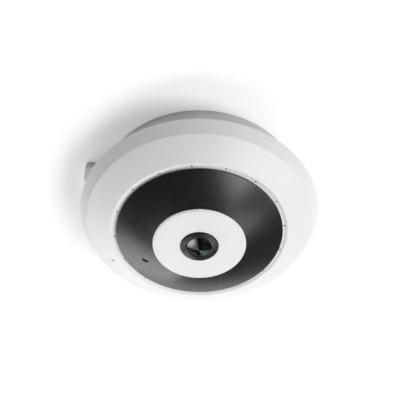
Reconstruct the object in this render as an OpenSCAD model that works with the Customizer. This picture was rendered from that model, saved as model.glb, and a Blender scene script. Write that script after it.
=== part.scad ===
// Fisheye ceiling camera, lying on its mounting face with the lens up.
// +Z is the viewing direction, +X points at the microphone hole in the face,
// and the origin is the centre of the mounting face.

/* [Shell] */
// Radius of the shell at its rear edge, the widest place
rim_r = 64.3; // [60:0.1:70]
// Height of the shell's rear edge above the mounting face
rim_z = 20.8; // [19:0.1:22]
// Inward run of the side band from the rear edge to the face
band_run = 4.1; // [3:0.1:6]
// Height of the edge between the side band and the face
crease_z = 28.6; // [27.5:0.1:30]
// Inward run of the face from the side band to the lip at the groove
face_run = 13; // [11:0.1:14]
// Height of that lip
lip_z = 37.1; // [36.8:0.1:38]
// Wall of the shell
shell_wall = 2.2; // [1.6:0.1:2.8]
// Sound slots in the groove
slot_count = 16; // [8:1:24]

/* [Window ring] */
// Width of the groove between the window ring and the lip
groove_run = 3; // [2.6:0.1:4]
// Height of the window ring's outer edge
window_z = 37.5; // [37:0.1:38]
// Thickness of the window ring
window_t = 2.4; // [1.8:0.1:2.8]
// Radius of the white disc inside the ring
disc_r = 24.6; // [22:0.1:26]
// Height of the disc's edge
disc_z = 46.4; // [46:0.1:47]
// Rise of the disc from its edge to the lens
disc_rise = 1.6; // [1:0.1:2]

/* [Lens] */
// Outer radius of the lens bezel
bezel_r = 10.1; // [9:0.1:11]
// Radius of the front glass
glass_r = 6.6; // [6:0.1:7]
// Rise of the front glass above its own edge
glass_rise = 1.9; // [1.2:0.1:2.4]
// Radius of the barrel's thread
barrel_r = 6; // [5.8:0.05:6.2]
// Radius of the barrel's head
barrel_head_r = 8.3; // [7.8:0.1:8.4]

/* [Rear cover] */
// Overhang of the shell past the rear cover and the mounting plate
overhang = 11.4; // [9:0.1:13]
// Straight height of the rear cover's side wall
cover_side_h = 6.6; // [5.5:0.1:7]
// Wall of the rear cover
cover_wall = 2.2; // [1.8:0.1:2.4]
// Length of the port bay along X
bay_l = 26; // [24:0.5:27]
// Width of the port bay along Y
bay_w = 28; // [27.5:0.1:29]

/* [Mounting plate] */
// Height of the plate's rim above the mounting face
plate_h = 8.1; // [7.6:0.1:8.6]
// Thickness of the plate's floor
plate_floor = 2.4; // [2:0.1:2.8]
// Radius of the cable hole
cable_hole_r = 16; // [12:0.5:20]
// Radius of the circle of mounting screws
mount_screw_ring_r = 33; // [28:0.5:36]
// Radius of each mounting screw hole
mount_hole_r = 2.3; // [2:0.1:2.6]
// Degrees that the camera turns between locked and free
twist = 30; // [24:1:32]
// Reach of the grip lug past the plate's wall
lug_reach = 10.4; // [7:0.1:11]
// Width of the grip lug
lug_w = 10.8; // [9:0.1:13]

/* [Inside] */
// Room between the main board and the rear cover's wall
board_edge_gap = 1.3; // [0.8:0.1:2]
// Thickness of every circuit board
pcb_t = 1.6; // [1.2:0.1:1.8]
// Thickness of the inner frame's plate
frame_t = 1.6; // [1.4:0.1:2]
// Travel of the day and night filter
filter_travel = 6; // [5.9:0.05:6.1]
// Travel of the reset button
reset_travel = 0.5; // [0.3:0.1:0.6]
// Radius of the speaker
speaker_r = 14; // [12:0.5:14.5]

/* [Hidden] */
$fn = 96;

// Shared clearances, and the overrun of every cut
over = 1;
part_gap = 0.3;
fit_gap = 0.1;
thread_gap = 0.05;

// Finishes
white = [0.92, 0.92, 0.93];
black = [0.05, 0.05, 0.055];
board_green = [0.08, 0.3, 0.16];
steel = [0.72, 0.73, 0.75];
copper = [0.75, 0.42, 0.22];
amber = [0.72, 0.5, 0.18];

// Radii that follow from the rim
crease_r = rim_r - band_run;
lip_r = crease_r - face_run;
window_r = lip_r - groove_run;
base_r = rim_r - overhang;
board_r = base_r - cover_wall - board_edge_gap;

// Edges and walls of the shell
rim_round = 0.5;
crease_round = 1.2;
lip_round = 1.6;
arc_steps = 6;
band_normal = atan2(rim_r - crease_r, crease_z - rim_z);
face_slope = (lip_z - crease_z) / (crease_r - lip_r);
face_tilt = atan(face_slope);
face_normal = 90 - face_tilt;
ledge_t = 1.8;
ledge_lap = 1.8;
ledge_r = window_r - ledge_lap;
groove_tilt = 17;

// Levels of the front, from the window ring's edge down
window_edge_h = 1.1;
ledge_z = window_z - window_edge_h;
ledge_bottom_z = ledge_z - ledge_t;
frame_drop = 3;
frame_top_z = ledge_bottom_z - frame_drop;
frame_bottom_z = frame_top_z - frame_t;
post_h = 1.8;
sensor_board_top_z = frame_bottom_z - post_h;
sensor_board_z = sensor_board_top_z - pcb_t;

// Levels of the rear
cover_z = plate_h + part_gap;
cover_floor_z = cover_z + cover_wall;
flare_z = cover_z + cover_side_h;
board_boss_h = 2;
main_board_z = cover_floor_z + board_boss_h;
main_board_top_z = main_board_z + pcb_t;

// Points of an arc that rounds the corner between two faces
function arc(centre, radius, from, to) =
    [for (i = [0 : arc_steps]) let (a = from + (to - from) * i / arc_steps)
        centre + radius * [cos(a), sin(a)]];
function inset(corner, from, to, depth) =
    let (mid = (from + to) / 2) corner - depth / cos((to - from) / 2) * [cos(mid), sin(mid)];
function rounded(corner, radius, from, to) = arc(inset(corner, from, to, radius), radius, from, to);
function cap_sphere_r(r, rise) = (r * r + rise * rise) / (2 * rise);

module at_polar(r, a) rotate([0, 0, a]) translate([r, 0, 0]) children();
module tube(outer_r, inner_r, h) {
    difference() {
        cylinder(r = outer_r, h = h);
        translate([0, 0, -over]) cylinder(r = inner_r, h = h + 2 * over);
    }
}
// A block between two radii and two angles
module sector(inner_r, outer_r, h, from, sweep) {
    rotate([0, 0, from]) rotate_extrude(angle = sweep)
        translate([inner_r, 0]) square([outer_r - inner_r, h]);
}
// A block from corner to corner
module block(low, high) translate(low) cube(high - low);
// A spherical cap that stands on z = 0
module cap(r, rise) {
    sphere_r = cap_sphere_r(r, rise);
    intersection() {
        translate([0, 0, rise - sphere_r]) sphere(r = sphere_r);
        cylinder(r = r + over, h = rise + over);
    }
}
// A small screw with its head's underside at z = 0 and its shank upwards
module screw(shank_r, shank_l, head_r, head_h) {
    translate([0, 0, -head_h]) difference() {
        cylinder(r = head_r, h = head_h);
        translate([0, 0, -over]) cylinder(r = shank_r * socket_share, h = over + head_h / 2, $fn = 6);
    }
    cylinder(r = shank_r, h = shank_l);
}
socket_share = 0.8;
// A flat lead that bends once each way between two points in the XZ plane
module lead(from, to, width, thick) {
    steps = 12;
    path = [for (i = [0 : steps]) let (share = i / steps)
        [from[0] + (to[0] - from[0]) * (1 - cos(180 * share)) / 2, from[1] + (to[1] - from[1]) * share]];
    side = [thick / 2, 0];
    translate([0, width / 2, 0]) rotate([90, 0, 0]) linear_extrude(width)
        polygon(concat([for (p = path) p - side], [for (i = [0 : steps]) path[steps - i] + side]));
}

// Small screws, used on every board
board_screw_r = 1;
board_screw_head_r = 1.9;
board_screw_head_h = 1.4;
board_screw_hole_r = board_screw_r + fit_gap * 2;
board_screw_pilot_r = board_screw_r + thread_gap;
board_screw_grip = 2.6;
screw_tip_gap = 0.4;

// Outline of the shell's outside
groove_floor_r = lip_r - (lip_z - ledge_z) / tan(groove_tilt);
crease_inner = inset([crease_r, crease_z], band_normal, face_normal, shell_wall);
rim_inner_r = rim_r - shell_wall / cos(band_normal);
slot_w = 0.8;
slot_l = 1.4;
slot_tuck = 0.5;
function face_z(r) = crease_z + (crease_r - r) * face_slope;
function shell_inner_r(z) = crease_inner[0] - (z - crease_inner[1]) / face_slope;

// Screws that hold the shell to the rear cover
cover_gap = 0.25;
cover_rim_r = rim_r - (shell_wall + cover_gap) / cos(band_normal);
screw_ring_share = 0.475;
shell_screw_ring_r = base_r + (cover_rim_r - base_r) * screw_ring_share;
shell_screw_angles = [60, 180, 300];
shell_boss_r = 2.6;
shell_screw_r = 1.4;
shell_screw_head_r = 2.4;
shell_screw_head_h = 1.8;
shell_screw_l = 7;
cover_boss_r = 3.4;
cover_boss_rise = 3.2;
cover_boss_z = rim_z + cover_boss_rise;
shell_screw_seat_t = 3.4;
shell_screw_seat_z = cover_boss_z - shell_screw_seat_t;

// Bosses that carry the inner frame
ear_out = 0.9;
ear_ring_r = lip_r + ear_out;
ear_r = 2.9;
ear_angles = [90, 210, 330];

// Small board behind the face, with the microphone and the status light
side_in = 6.3;
side_r = crease_r - side_in;
side_pitch = 3.1;
side_tube_r = 1.7;
sound_hole_r = 0.5;
sound_slot_l = 1.8;
sound_slot_depth = 0.9;
light_hole_r = 0.8;
side_tube_l = 1.6;
side_board_size = [9, 8];
side_board_t = 1;
module on_face(r) translate([r, 0, face_z(r)]) rotate([0, face_tilt, 0]) children();
module on_side_board(offset) on_face(side_r) translate([offset, 0, 0]) children();
side_board_depth = shell_wall + side_tube_l;

// The mouth of the microphone's hole, drawn out round the axis
module sound_slot() {
    straight = sound_slot_l / 2 - sound_hole_r;
    block([-sound_hole_r, -straight, -sound_slot_depth], [sound_hole_r, straight, over]);
    for (side = [-1, 1]) translate([0, side * straight, -sound_slot_depth])
        cylinder(r = sound_hole_r, h = sound_slot_depth + over);
}
// The shell's wall from the rear edge over the face and down the groove
module shell_revolve() {
    rotate_extrude() polygon(concat(
        [[rim_inner_r, rim_z]],
        rounded([rim_r, rim_z], rim_round, -90, band_normal),
        rounded([crease_r, crease_z], crease_round, band_normal, face_normal),
        rounded([lip_r, lip_z], lip_round, face_normal, 90 + groove_tilt),
        [[groove_floor_r, ledge_z], [ledge_r, ledge_z], [ledge_r, ledge_bottom_z],
         [shell_inner_r(ledge_bottom_z), ledge_bottom_z], crease_inner]));
}
module front_shell() {
    color(white) difference() {
        union() {
            shell_revolve();
            intersection() {
                shell_fill();
                union() {
                    for (a = shell_screw_angles) at_polar(shell_screw_ring_r, a)
                        translate([0, 0, cover_boss_z + fit_gap]) cylinder(r = shell_boss_r, h = lip_z);
                    for (a = ear_angles) at_polar(ear_ring_r, a)
                        translate([0, 0, frame_top_z]) cylinder(r = ear_r, h = lip_z);
                }
            }
            for (side = [-1, 1]) on_side_board(side * side_pitch / 2)
                translate([0, 0, -side_board_depth]) cylinder(r = side_tube_r, h = side_tube_l + over / 2);
        }
        for (a = shell_screw_angles) at_polar(shell_screw_ring_r, a) translate([0, 0, cover_boss_z])
            cylinder(r = shell_screw_r + thread_gap, h = shell_screw_seat_z + shell_screw_l
                + screw_tip_gap - cover_boss_z);
        for (a = ear_angles) at_polar(ear_ring_r, a)
            translate([0, 0, frame_top_z - over])
                cylinder(r = board_screw_pilot_r, h = over + board_screw_grip + screw_tip_gap);
        on_side_board(side_pitch / 2) translate([0, 0, -side_board_depth - over])
            cylinder(r = light_hole_r, h = side_board_depth + 2 * over);
        on_side_board(-side_pitch / 2) {
            translate([0, 0, -side_board_depth - over])
                cylinder(r = sound_hole_r, h = side_board_depth + 2 * over);
            sound_slot();
        }
        for (i = [0 : slot_count - 1]) rotate([0, 0, 360 * i / slot_count])
            translate([groove_floor_r - slot_tuck, -slot_w / 2, ledge_bottom_z - over])
                cube([slot_l, slot_w, ledge_t + 2 * over]);
    }
}

// The space under the shell's outer face, which trims the bosses
module shell_fill() {
    fill_depth = shell_wall / 2;
    rotate_extrude() polygon([[0, rim_z], [rim_inner_r, rim_z],
        inset([crease_r, crease_z], band_normal, face_normal, fill_depth),
        [lip_r, face_z(lip_r) - fill_depth / cos(face_tilt)],
        [lip_r, ledge_z - ledge_t / 2], [0, ledge_z - ledge_t / 2]]);
}

// Rear cover
cover_lap = 2.8;
cover_edge_round = 0.6;
cover_flare_end_z = rim_z - part_gap;
bay_wall = 1.6;
bay_roof = 1.6;
board_gap = 0.4;
sensor_board_front_y = -15;
bay_back_y = sensor_board_front_y - board_gap - bay_wall;
bay_front_y = bay_back_y - bay_w;
bay_x = 6;
bay_far_x = bay_x - bay_l;
jack_h = 13.4;
bay_top_z = main_board_top_z + jack_h - bay_roof;
board_screw_inset = 5.4;
board_screw_ring_r = board_r - board_screw_inset;
board_screw_angles = [45, 135, 215, 325];
board_boss_r = 2.8;

// Turning lock between the rear cover and the plate
lock_start = -84;
lock_count = 3;
lock_sweep = 30;
lock_play = 0.5;
stop_sweep = 3;
lock_skirt_t = 2.2;
lock_lug_t = 2;
lock_lug_z = plate_floor + lock_lug_t / 2;
ledge_lock_gap = 0.4;
plate_ledge_t = 1.9;
plate_wall = 2.6;
lock_room = 1.3;
lock_lap = 2.8;
skirt_room = 0.6;
lock_lug_r = base_r - plate_wall - lock_room;
plate_ledge_r = lock_lug_r - lock_lap;
lock_skirt_r = plate_ledge_r - skirt_room;

module cover_revolve() {
    flare_rise = cover_flare_end_z - flare_z;
    rotate_extrude() polygon(concat(
        [[0, cover_z]],
        rounded([base_r, cover_z], cover_edge_round, -90, 0),
        [[base_r, flare_z], [cover_rim_r, cover_flare_end_z], [cover_rim_r, rim_z],
         [cover_rim_r - cover_lap * tan(band_normal), rim_z + cover_lap],
         [cover_rim_r - cover_lap * tan(band_normal) - cover_wall, rim_z + cover_lap],
         [cover_rim_r - cover_wall, rim_z],
         [base_r - cover_wall, rim_z - flare_rise],
         [base_r - cover_wall, cover_floor_z], [0, cover_floor_z]]));
}
// The space inside the middle of the rear cover's wall, which trims its bosses
module cover_fill() {
    half = cover_wall / 2;
    flare_mid_z = (cover_flare_end_z + rim_z) / 2;
    rotate_extrude() polygon([[0, cover_z], [base_r - half, cover_z],
        [base_r - half, flare_mid_z - cover_flare_end_z + flare_z], [cover_rim_r - half, flare_mid_z],
        [cover_rim_r - half - (cover_boss_z - rim_z) * tan(band_normal), cover_boss_z],
        [base_r - half, cover_boss_z], [base_r - half, lip_z], [0, lip_z]]);
}
module rear_cover() {
    bay_low = [bay_far_x, bay_front_y, cover_z];
    bay_high = [bay_x, bay_back_y, bay_top_z];
    color(white) difference() {
        union() {
            cover_revolve();
            intersection() {
                cover_fill();
                union() {
                    block(bay_low - [bay_wall, bay_wall, 0], bay_high + [bay_wall, bay_wall, bay_roof]);
                    for (a = shell_screw_angles) at_polar(shell_screw_ring_r, a)
                        translate([0, 0, flare_z]) cylinder(r = cover_boss_r, h = cover_boss_z - flare_z);
                }
            }
            for (a = board_screw_angles) at_polar(board_screw_ring_r, a)
                translate([0, 0, cover_floor_z - over / 2])
                    cylinder(r = board_boss_r, h = board_boss_h + over / 2);
            for (i = [0 : lock_count - 1]) {
                start = lock_start + 360 * i / lock_count + stop_sweep + lock_play;
                translate([0, 0, lock_lug_z])
                    sector(lock_skirt_r - lock_skirt_t, lock_skirt_r, cover_z - lock_lug_z + over / 2,
                        start, lock_sweep);
                translate([0, 0, lock_lug_z])
                    sector(lock_skirt_r - lock_skirt_t / 2, lock_lug_r, lock_lug_t, start, lock_sweep);
            }
        }
        block(bay_low - [0, 0, over], bay_high);
        for (a = shell_screw_angles) at_polar(shell_screw_ring_r, a) {
            translate([0, 0, cover_z]) cylinder(r = shell_screw_head_r + part_gap,
                h = shell_screw_seat_z - cover_z);
            cylinder(r = shell_screw_r + part_gap, h = lip_z);
        }
        for (a = board_screw_angles) at_polar(board_screw_ring_r, a)
            translate([0, 0, main_board_z - board_screw_grip - screw_tip_gap])
                cylinder(r = board_screw_pilot_r, h = board_screw_grip + screw_tip_gap + over);
        network_mouth(bay_x - over, bay_wall + 2 * over, mouth_margin);
        power_mouth(bay_x - over, bay_wall + 2 * over, mouth_margin);
        card_low_z = main_board_top_z + card_slot_z - mouth_margin / 2;
        block([card_x + card_slot_inset, bay_back_y - over, card_low_z],
            [card_x + card_w - card_slot_inset, bay_back_y + bay_wall + over,
             card_low_z + card_slot_h + mouth_margin]);
        translate([reset_x, bay_back_y - over, reset_z]) rotate([-90, 0, 0])
            cylinder(r = reset_r + fit_gap, h = bay_wall + 2 * over);
    }
}

// Mounting plate
mount_screw_angles = [30, 150, 270];
mount_boss_r = 6;
mount_boss_h = 1.2;
mount_sink_r = 4.4;
mount_sink_h = 2.1;
lug_angle = -39;
lug_t = 4.6;
lug_corner_r = 2.8;
lug_root_r = 2.4;
gate_w = 14;
gate_angle = 0;
plate_edge_round = 0.6;

// The outline of the grip lug, with its root rounded into the plate's wall
module lug_outline() {
    half = lug_w / 2;
    root = sqrt(base_r * base_r - half * half);
    tip = base_r + lug_reach;
    inner = base_r - plate_wall / 2;
    difference() {
        union() {
            translate([inner, -half]) square([tip - lug_corner_r - inner, lug_w]);
            translate([base_r, -half + lug_corner_r]) square([lug_reach, lug_w - 2 * lug_corner_r]);
            for (side = [-1, 1]) translate([tip - lug_corner_r, side * (half - lug_corner_r)])
                circle(r = lug_corner_r);
            for (side = [-1, 1]) mirror([0, side < 0 ? 1 : 0]) translate([root - lug_root_r / 2, 0])
                square([lug_root_r * 3 / 2, half + lug_root_r]);
        }
        for (side = [-1, 1]) translate([root + lug_root_r, side * (half + lug_root_r)])
            circle(r = lug_root_r);
    }
}
module mount_plate() {
    ledge_z_low = lock_lug_z + lock_lug_t + ledge_lock_gap;
    color(white) difference() {
        union() {
            rotate_extrude() polygon(concat(
                [[0, 0]],
                [[base_r, 0]],
                rounded([base_r, plate_h], plate_edge_round, 0, 90),
                [[base_r - plate_wall, plate_h], [base_r - plate_wall, plate_floor], [0, plate_floor]]));
            rotate([0, 0, lug_angle]) linear_extrude(lug_t) lug_outline();
            for (a = mount_screw_angles) at_polar(mount_screw_ring_r, a)
                cylinder(r = mount_boss_r, h = plate_floor + mount_boss_h);
            for (i = [0 : lock_count - 1]) {
                start = lock_start + 360 * i / lock_count;
                translate([0, 0, ledge_z_low]) sector(plate_ledge_r, base_r - plate_wall / 2,
                    plate_ledge_t, start, stop_sweep + lock_play + lock_sweep);
                sector(plate_ledge_r, base_r - plate_wall / 2, ledge_z_low + plate_ledge_t / 2,
                    start, stop_sweep);
                sector(plate_ledge_r, base_r - plate_wall / 2, lock_lug_z + lock_lug_t,
                    start + stop_sweep + 2 * lock_play + lock_sweep + twist, stop_sweep);
            }
        }
        translate([0, 0, -over]) cylinder(r = cable_hole_r, h = plate_floor + 2 * over);
        for (a = mount_screw_angles) at_polar(mount_screw_ring_r, a) {
            translate([0, 0, -over]) cylinder(r = mount_hole_r, h = plate_h);
            translate([0, 0, plate_floor + mount_boss_h - mount_sink_h])
                cylinder(r1 = mount_hole_r, r2 = mount_sink_r, h = mount_sink_h);
            translate([0, 0, plate_floor + mount_boss_h]) cylinder(r = mount_sink_r, h = over);
        }
        rotate([0, 0, gate_angle]) translate([base_r - plate_wall - over, -gate_w / 2, plate_floor])
            cube([plate_wall + 2 * over, gate_w, plate_h]);
    }
}

// Window ring, disc and bezel
window_slope = (disc_z - window_z) / (window_r - disc_r);
window_edge_chamfer = 0.3;
spigot_r = ledge_r - fit_gap * 2;
spigot_t = 1.7;
spigot_h = 1.4;
disc_seat_t = 1.9;
disc_skirt_t = 2;
disc_skirt_h = 3.4;
disc_edge_run = 0.7;
disc_edge_rise = 0.55;
collar_t = 1.7;
collar_bottom_z = frame_top_z;
sensor_hole_r = 1.5;
led_board_room = 0.5;
led_board_inner_r = disc_r + 2 * fit_gap + collar_t + led_board_room;
light_sensor_in = 5.4;
light_sensor_x = led_board_inner_r + light_sensor_in;
function window_top(r) = window_z + (window_r - r) * window_slope;
disc_fit_r = disc_r + fit_gap;

module window_ring() {
    skirt_z = disc_z - disc_skirt_h;
    inner_drop = window_t / cos(atan(window_slope));
    color(black) difference() {
        rotate_extrude() polygon([
            [window_r, ledge_z], [window_r, window_z - window_edge_chamfer],
            [window_r - window_edge_chamfer, window_top(window_r - window_edge_chamfer)],
            [disc_fit_r, window_top(disc_fit_r)], [disc_fit_r, skirt_z],
            [disc_fit_r - disc_seat_t, skirt_z], [disc_fit_r - disc_seat_t, skirt_z - collar_t],
            [disc_fit_r + fit_gap, skirt_z - collar_t], [disc_fit_r + fit_gap, collar_bottom_z],
            [disc_fit_r + fit_gap + collar_t, collar_bottom_z],
            [disc_fit_r + fit_gap + collar_t, window_top(disc_fit_r + fit_gap + collar_t) - inner_drop],
            [spigot_r - spigot_t, window_top(spigot_r - spigot_t) - inner_drop],
            [spigot_r - spigot_t, ledge_z - spigot_h], [spigot_r, ledge_z - spigot_h],
            [spigot_r, ledge_z]]);
        translate([light_sensor_x, 0, window_top(light_sensor_x)]) rotate([0, atan(window_slope), 0])
            translate([0, 0, -window_t - over]) cylinder(r = sensor_hole_r, h = window_t + 2 * over);
    }
}
disc_t = 1.9;
bezel_seat_drop = 0.9;
bezel_lap = 1.5;
disc_top_z = disc_z + disc_rise;
bezel_seat_z = disc_top_z - bezel_seat_drop;
disc_hole_r = bezel_r - bezel_lap;

module lens_disc() {
    color(white) rotate_extrude() polygon([
        [disc_r, disc_z - disc_skirt_h], [disc_r, disc_z],
        [disc_r - disc_edge_run, disc_z + disc_edge_rise],
        [bezel_r + fit_gap, disc_top_z], [bezel_r + fit_gap, bezel_seat_z], [disc_hole_r, bezel_seat_z],
        [disc_hole_r, disc_top_z - disc_t], [disc_r - disc_skirt_t, disc_z - disc_t / 2],
        [disc_r - disc_skirt_t, disc_z - disc_skirt_h]]);
}
bezel_edge_h = 1.15;
bezel_rise = 1.1;
bezel_steps = 8;
glass_gap = thread_gap;
glass_edge_z = bezel_seat_z + bezel_edge_h + bezel_rise - thread_gap;

module lens_bezel() {
    shoulder_z = bezel_seat_z + bezel_edge_h;
    bore_r = glass_r + glass_gap;
    color(black) rotate_extrude() polygon(concat(
        [[bore_r, bezel_seat_z], [bezel_r, bezel_seat_z]],
        [for (i = [0 : bezel_steps]) let (a = 90 * i / bezel_steps)
            [bore_r + (bezel_r - bore_r) * cos(a), shoulder_z + bezel_rise * sin(a)]]));
}

// Barrel with its glasses
barrel_top_z = bezel_seat_z - fit_gap;
head_h = 5.7;
barrel_wall = 1;
lens_r = barrel_r - barrel_wall;
barrel_lip_h = 0.8;
barrel_lip_r = 4;
lens_edges = [1.6, 1.8, 2.2];
spacer_l = 2;
spacer_r = 4.1;
front_hollow = 0.9;
lens_bulge = 0.6;

module front_lens() {
    color([0.12, 0.2, 0.22]) difference() {
        union() {
            translate([0, 0, barrel_top_z]) cylinder(r = glass_r, h = glass_edge_z - barrel_top_z);
            translate([0, 0, glass_edge_z - thread_gap]) intersection() {
                cap(glass_r, glass_rise + thread_gap);
                cylinder(r = glass_r, h = glass_rise + over);
            }
        }
        translate([0, 0, barrel_top_z]) cap(spacer_r, front_hollow);
        translate([0, 0, barrel_top_z - over]) cylinder(r = spacer_r - fit_gap, h = over);
    }
}

// Filter housing, on top of the sensor board
tray_x = 14.5;
tray_front_y = -7.6;
tray_back_y = 11.6;
tray_wall = 0.9;
tray_h = 4.6;
tray_floor_t = 0.6;
tray_floor_rise = 1.5;
tray_floor_z = sensor_board_top_z + tray_floor_rise;
tray_floor_top_z = tray_floor_z + tray_floor_t;
tray_top_z = sensor_board_top_z + tray_h;
tray_step_y = 6.6;
tray_deep_rise = 0.8;
tray_deep_z = sensor_board_top_z + tray_deep_rise;
pane_size = [5.3, 5.7, 0.5];
pane_rest = 0.4;
slide_gap = 0.2;
slide_t = 1;
slide_front_y = -4;
slide_back_y = 6.3;
slide_end = 3.7;
slide_z = tray_floor_top_z + slide_gap;
rotor_swing = 80;
rotor_arm_l = filter_travel / 2 / sin(rotor_swing / 2);
slot_y = 4;
rotor_y = slot_y + rotor_arm_l;
rotor_pin_r = 0.4;
rotor_r = 1.6;
rotor_h = 2.4;
rotor_z = tray_deep_z + slide_gap;
arm_w = 1.4;
arm_t = 0.75;
arm_z = slide_z + slide_t + slide_gap + thread_gap;
axle_r = 0.4;
holder_base_t = 1.2;
holder_tube_r = 8;
holder_tube_h = 7;
holder_hole_r = 5;
holder_top_z = tray_top_z + holder_base_t;

module inner_lenses() {
    color([0.25, 0.4, 0.42]) for (i = [0 : len(lens_edges) - 1]) translate([0, 0, lens_level(i)]) {
        cylinder(r = lens_r - thread_gap, h = lens_edges[i]);
        translate([0, 0, lens_edges[i] - thread_gap]) cap(barrel_lip_r, lens_bulge);
    }
}
function sum_edges(n) = n == 0 ? 0 : lens_edges[n - 1] + sum_edges(n - 1);
function lens_level(i) = barrel_bottom_z + barrel_lip_h + sum_edges(i) + spacer_l * i;
barrel_bottom_z = holder_top_z + slide_gap;
lens_stack_top_z = lens_level(len(lens_edges) - 1) + lens_edges[len(lens_edges) - 1];

module lens_spacers() {
    color(black) {
        for (i = [0 : len(lens_edges) - 2]) translate([0, 0, lens_level(i) + lens_edges[i]])
            tube(lens_r - thread_gap, spacer_r, spacer_l);
        translate([0, 0, lens_stack_top_z])
            tube(lens_r - thread_gap, spacer_r, barrel_top_z - lens_stack_top_z);
    }
}
module lens_barrel() {
    color(black) difference() {
        union() {
            translate([0, 0, barrel_bottom_z]) cylinder(r = barrel_r, h = barrel_top_z - barrel_bottom_z);
            translate([0, 0, barrel_top_z - head_h]) cylinder(r = barrel_head_r, h = head_h);
        }
        translate([0, 0, barrel_bottom_z + barrel_lip_h]) cylinder(r = lens_r, h = barrel_top_z);
        translate([0, 0, barrel_bottom_z - over]) cylinder(r = barrel_lip_r, h = barrel_top_z);
    }
}
module lens_holder() {
    color(black) difference() {
        union() {
            block([-tray_x, tray_front_y, tray_top_z], [tray_x, tray_back_y, holder_top_z]);
            translate([0, 0, holder_top_z]) cylinder(r = holder_tube_r, h = holder_tube_h);
        }
        translate([0, 0, tray_top_z - over]) cylinder(r = holder_hole_r, h = tray_h);
        translate([0, 0, holder_top_z]) cylinder(r = barrel_r + thread_gap, h = holder_tube_h + over);
    }
}
module filter_housing() {
    inner_x = tray_x - tray_wall;
    color(black) {
        difference() {
            block([-tray_x, tray_front_y, sensor_board_top_z], [tray_x, tray_back_y, tray_top_z]);
            block([-inner_x, tray_front_y + tray_wall, tray_floor_top_z],
                [inner_x, tray_back_y - tray_wall, tray_top_z + over]);
            block([-inner_x, tray_front_y + tray_wall, sensor_board_top_z - over],
                [inner_x, tray_step_y - tray_wall, tray_floor_z]);
            block([-inner_x / 2, tray_step_y, tray_deep_z],
                [inner_x, tray_back_y - tray_wall, tray_top_z]);
            block([-sensor_window[0] / 2, -sensor_window[1] / 2, tray_floor_z - over],
                [sensor_window[0] / 2, sensor_window[1] / 2, tray_floor_top_z + over]);
        }
        translate([0, rotor_y, tray_deep_z - tray_floor_t / 2])
            cylinder(r = axle_r, h = arm_z + arm_t - tray_deep_z);
    }
}
sensor_window = [4.6, 5];
module filter_slide() {
    color([0.2, 0.2, 0.22]) difference() {
        block([-slide_end, slide_front_y, slide_z],
            [filter_travel + slide_end, slide_back_y, slide_z + slide_t]);
        for (x = [0, filter_travel]) {
            block([x - sensor_window[0] / 2, -sensor_window[1] / 2, slide_z - over],
                [x + sensor_window[0] / 2, sensor_window[1] / 2, slide_z + slide_t + over]);
            block([x - pane_size[0] / 2 - thread_gap, -pane_size[1] / 2 - thread_gap, slide_z + pane_rest],
                [x + pane_size[0] / 2 + thread_gap, pane_size[1] / 2 + thread_gap, slide_z + slide_t + over]);
        }
        slot_half = rotor_pin_r + slide_gap;
        block([filter_travel / 2 - slot_half, slot_y - slot_half, slide_z - over],
            [filter_travel / 2 + slot_half,
             rotor_y - rotor_arm_l * cos(rotor_swing / 2) + slot_half, slide_z + slide_t + over]);
    }
}
module filter_panes() {
    color([0.45, 0.75, 0.75]) for (x = [0, filter_travel])
        block([x - pane_size[0] / 2, -pane_size[1] / 2, slide_z + pane_rest],
            [x + pane_size[0] / 2, pane_size[1] / 2, slide_z + pane_rest + pane_size[2]]);
}
module filter_rotor() {
    color(steel) translate([0, rotor_y, 0]) difference() {
        union() {
            translate([0, 0, rotor_z]) cylinder(r = rotor_r, h = arm_z + arm_t - rotor_z);
            rotate([0, 0, rotor_swing / 2 - 90]) {
                block([0, -arm_w / 2, arm_z], [rotor_arm_l, arm_w / 2, arm_z + arm_t]);
                translate([rotor_arm_l, 0, arm_z]) cylinder(r = arm_w / 2, h = arm_t);
                translate([rotor_arm_l, 0, slide_z + slide_gap])
                    cylinder(r = rotor_pin_r, h = arm_z - slide_z - slide_gap + arm_t);
            }
        }
        translate([0, 0, rotor_z - over]) cylinder(r = axle_r + thread_gap, h = tray_h + 2 * over);
    }
}
coil_x = 5;
coil_l = 7.4;
coil_r = 1.5;
core_r = 0.6;
shoe_r = 1.9;
shoe_t = 0.6;
shoe_sweep = 100;
shoe_height_share = 1.2;
coil_z = tray_deep_z + coil_r;
module filter_coil() {
    color(copper) translate([coil_x, rotor_y, coil_z]) rotate([0, 90, 0])
        tube(coil_r, core_r + thread_gap, coil_l);
}
module filter_yoke() {
    shoe_h = coil_r * shoe_height_share;
    color(steel) {
        translate([0, rotor_y, coil_z - shoe_h / 2])
            sector(shoe_r, shoe_r + shoe_t, shoe_h, -shoe_sweep / 2, shoe_sweep);
        translate([shoe_r + shoe_t / 2, rotor_y, coil_z]) rotate([0, 90, 0])
            cylinder(r = core_r, h = coil_x + coil_l - shoe_r);
    }
}
sensor_size = [10, 8.5, 1.1];
module image_sensor() {
    color([0.15, 0.17, 0.2]) translate([-sensor_size[0] / 2, -sensor_size[1] / 2, sensor_board_top_z])
        cube(sensor_size);
}

// Sensor board and the frame that carries it
sensor_board_x = 15;
sensor_board_back_y = 17;
post_x = 12.5;
post_front_y = -12.6;
post_back_y = 14.4;
post_r = 2;
frame_lap = 3.7;
frame_r = ledge_r + frame_lap;
frame_hole_gap = 0.6;
speaker_place = [-31, 8];
speaker_rim_w = 1.8;
speaker_mouth_r = speaker_r - speaker_rim_w;
led_board_r = spigot_r - spigot_t - board_gap;
led_board_t = 1.2;
led_pad_h = 0.8;
led_pad_r = 2.2;
led_screw_inset = 2.5;
led_screw_ring_r = led_board_r - led_screw_inset;
led_screw_angles = [75, 195, 315];
led_board_z = frame_top_z + led_pad_h;
led_board_top_z = led_board_z + led_board_t;
led_window = [9, 7];
led_socket_inset = 6;
led_socket_y = led_board_r - led_socket_inset;
posts = [for (x = [-post_x, post_x]) for (y = [post_front_y, post_back_y]) [x, y, 0]];

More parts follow.
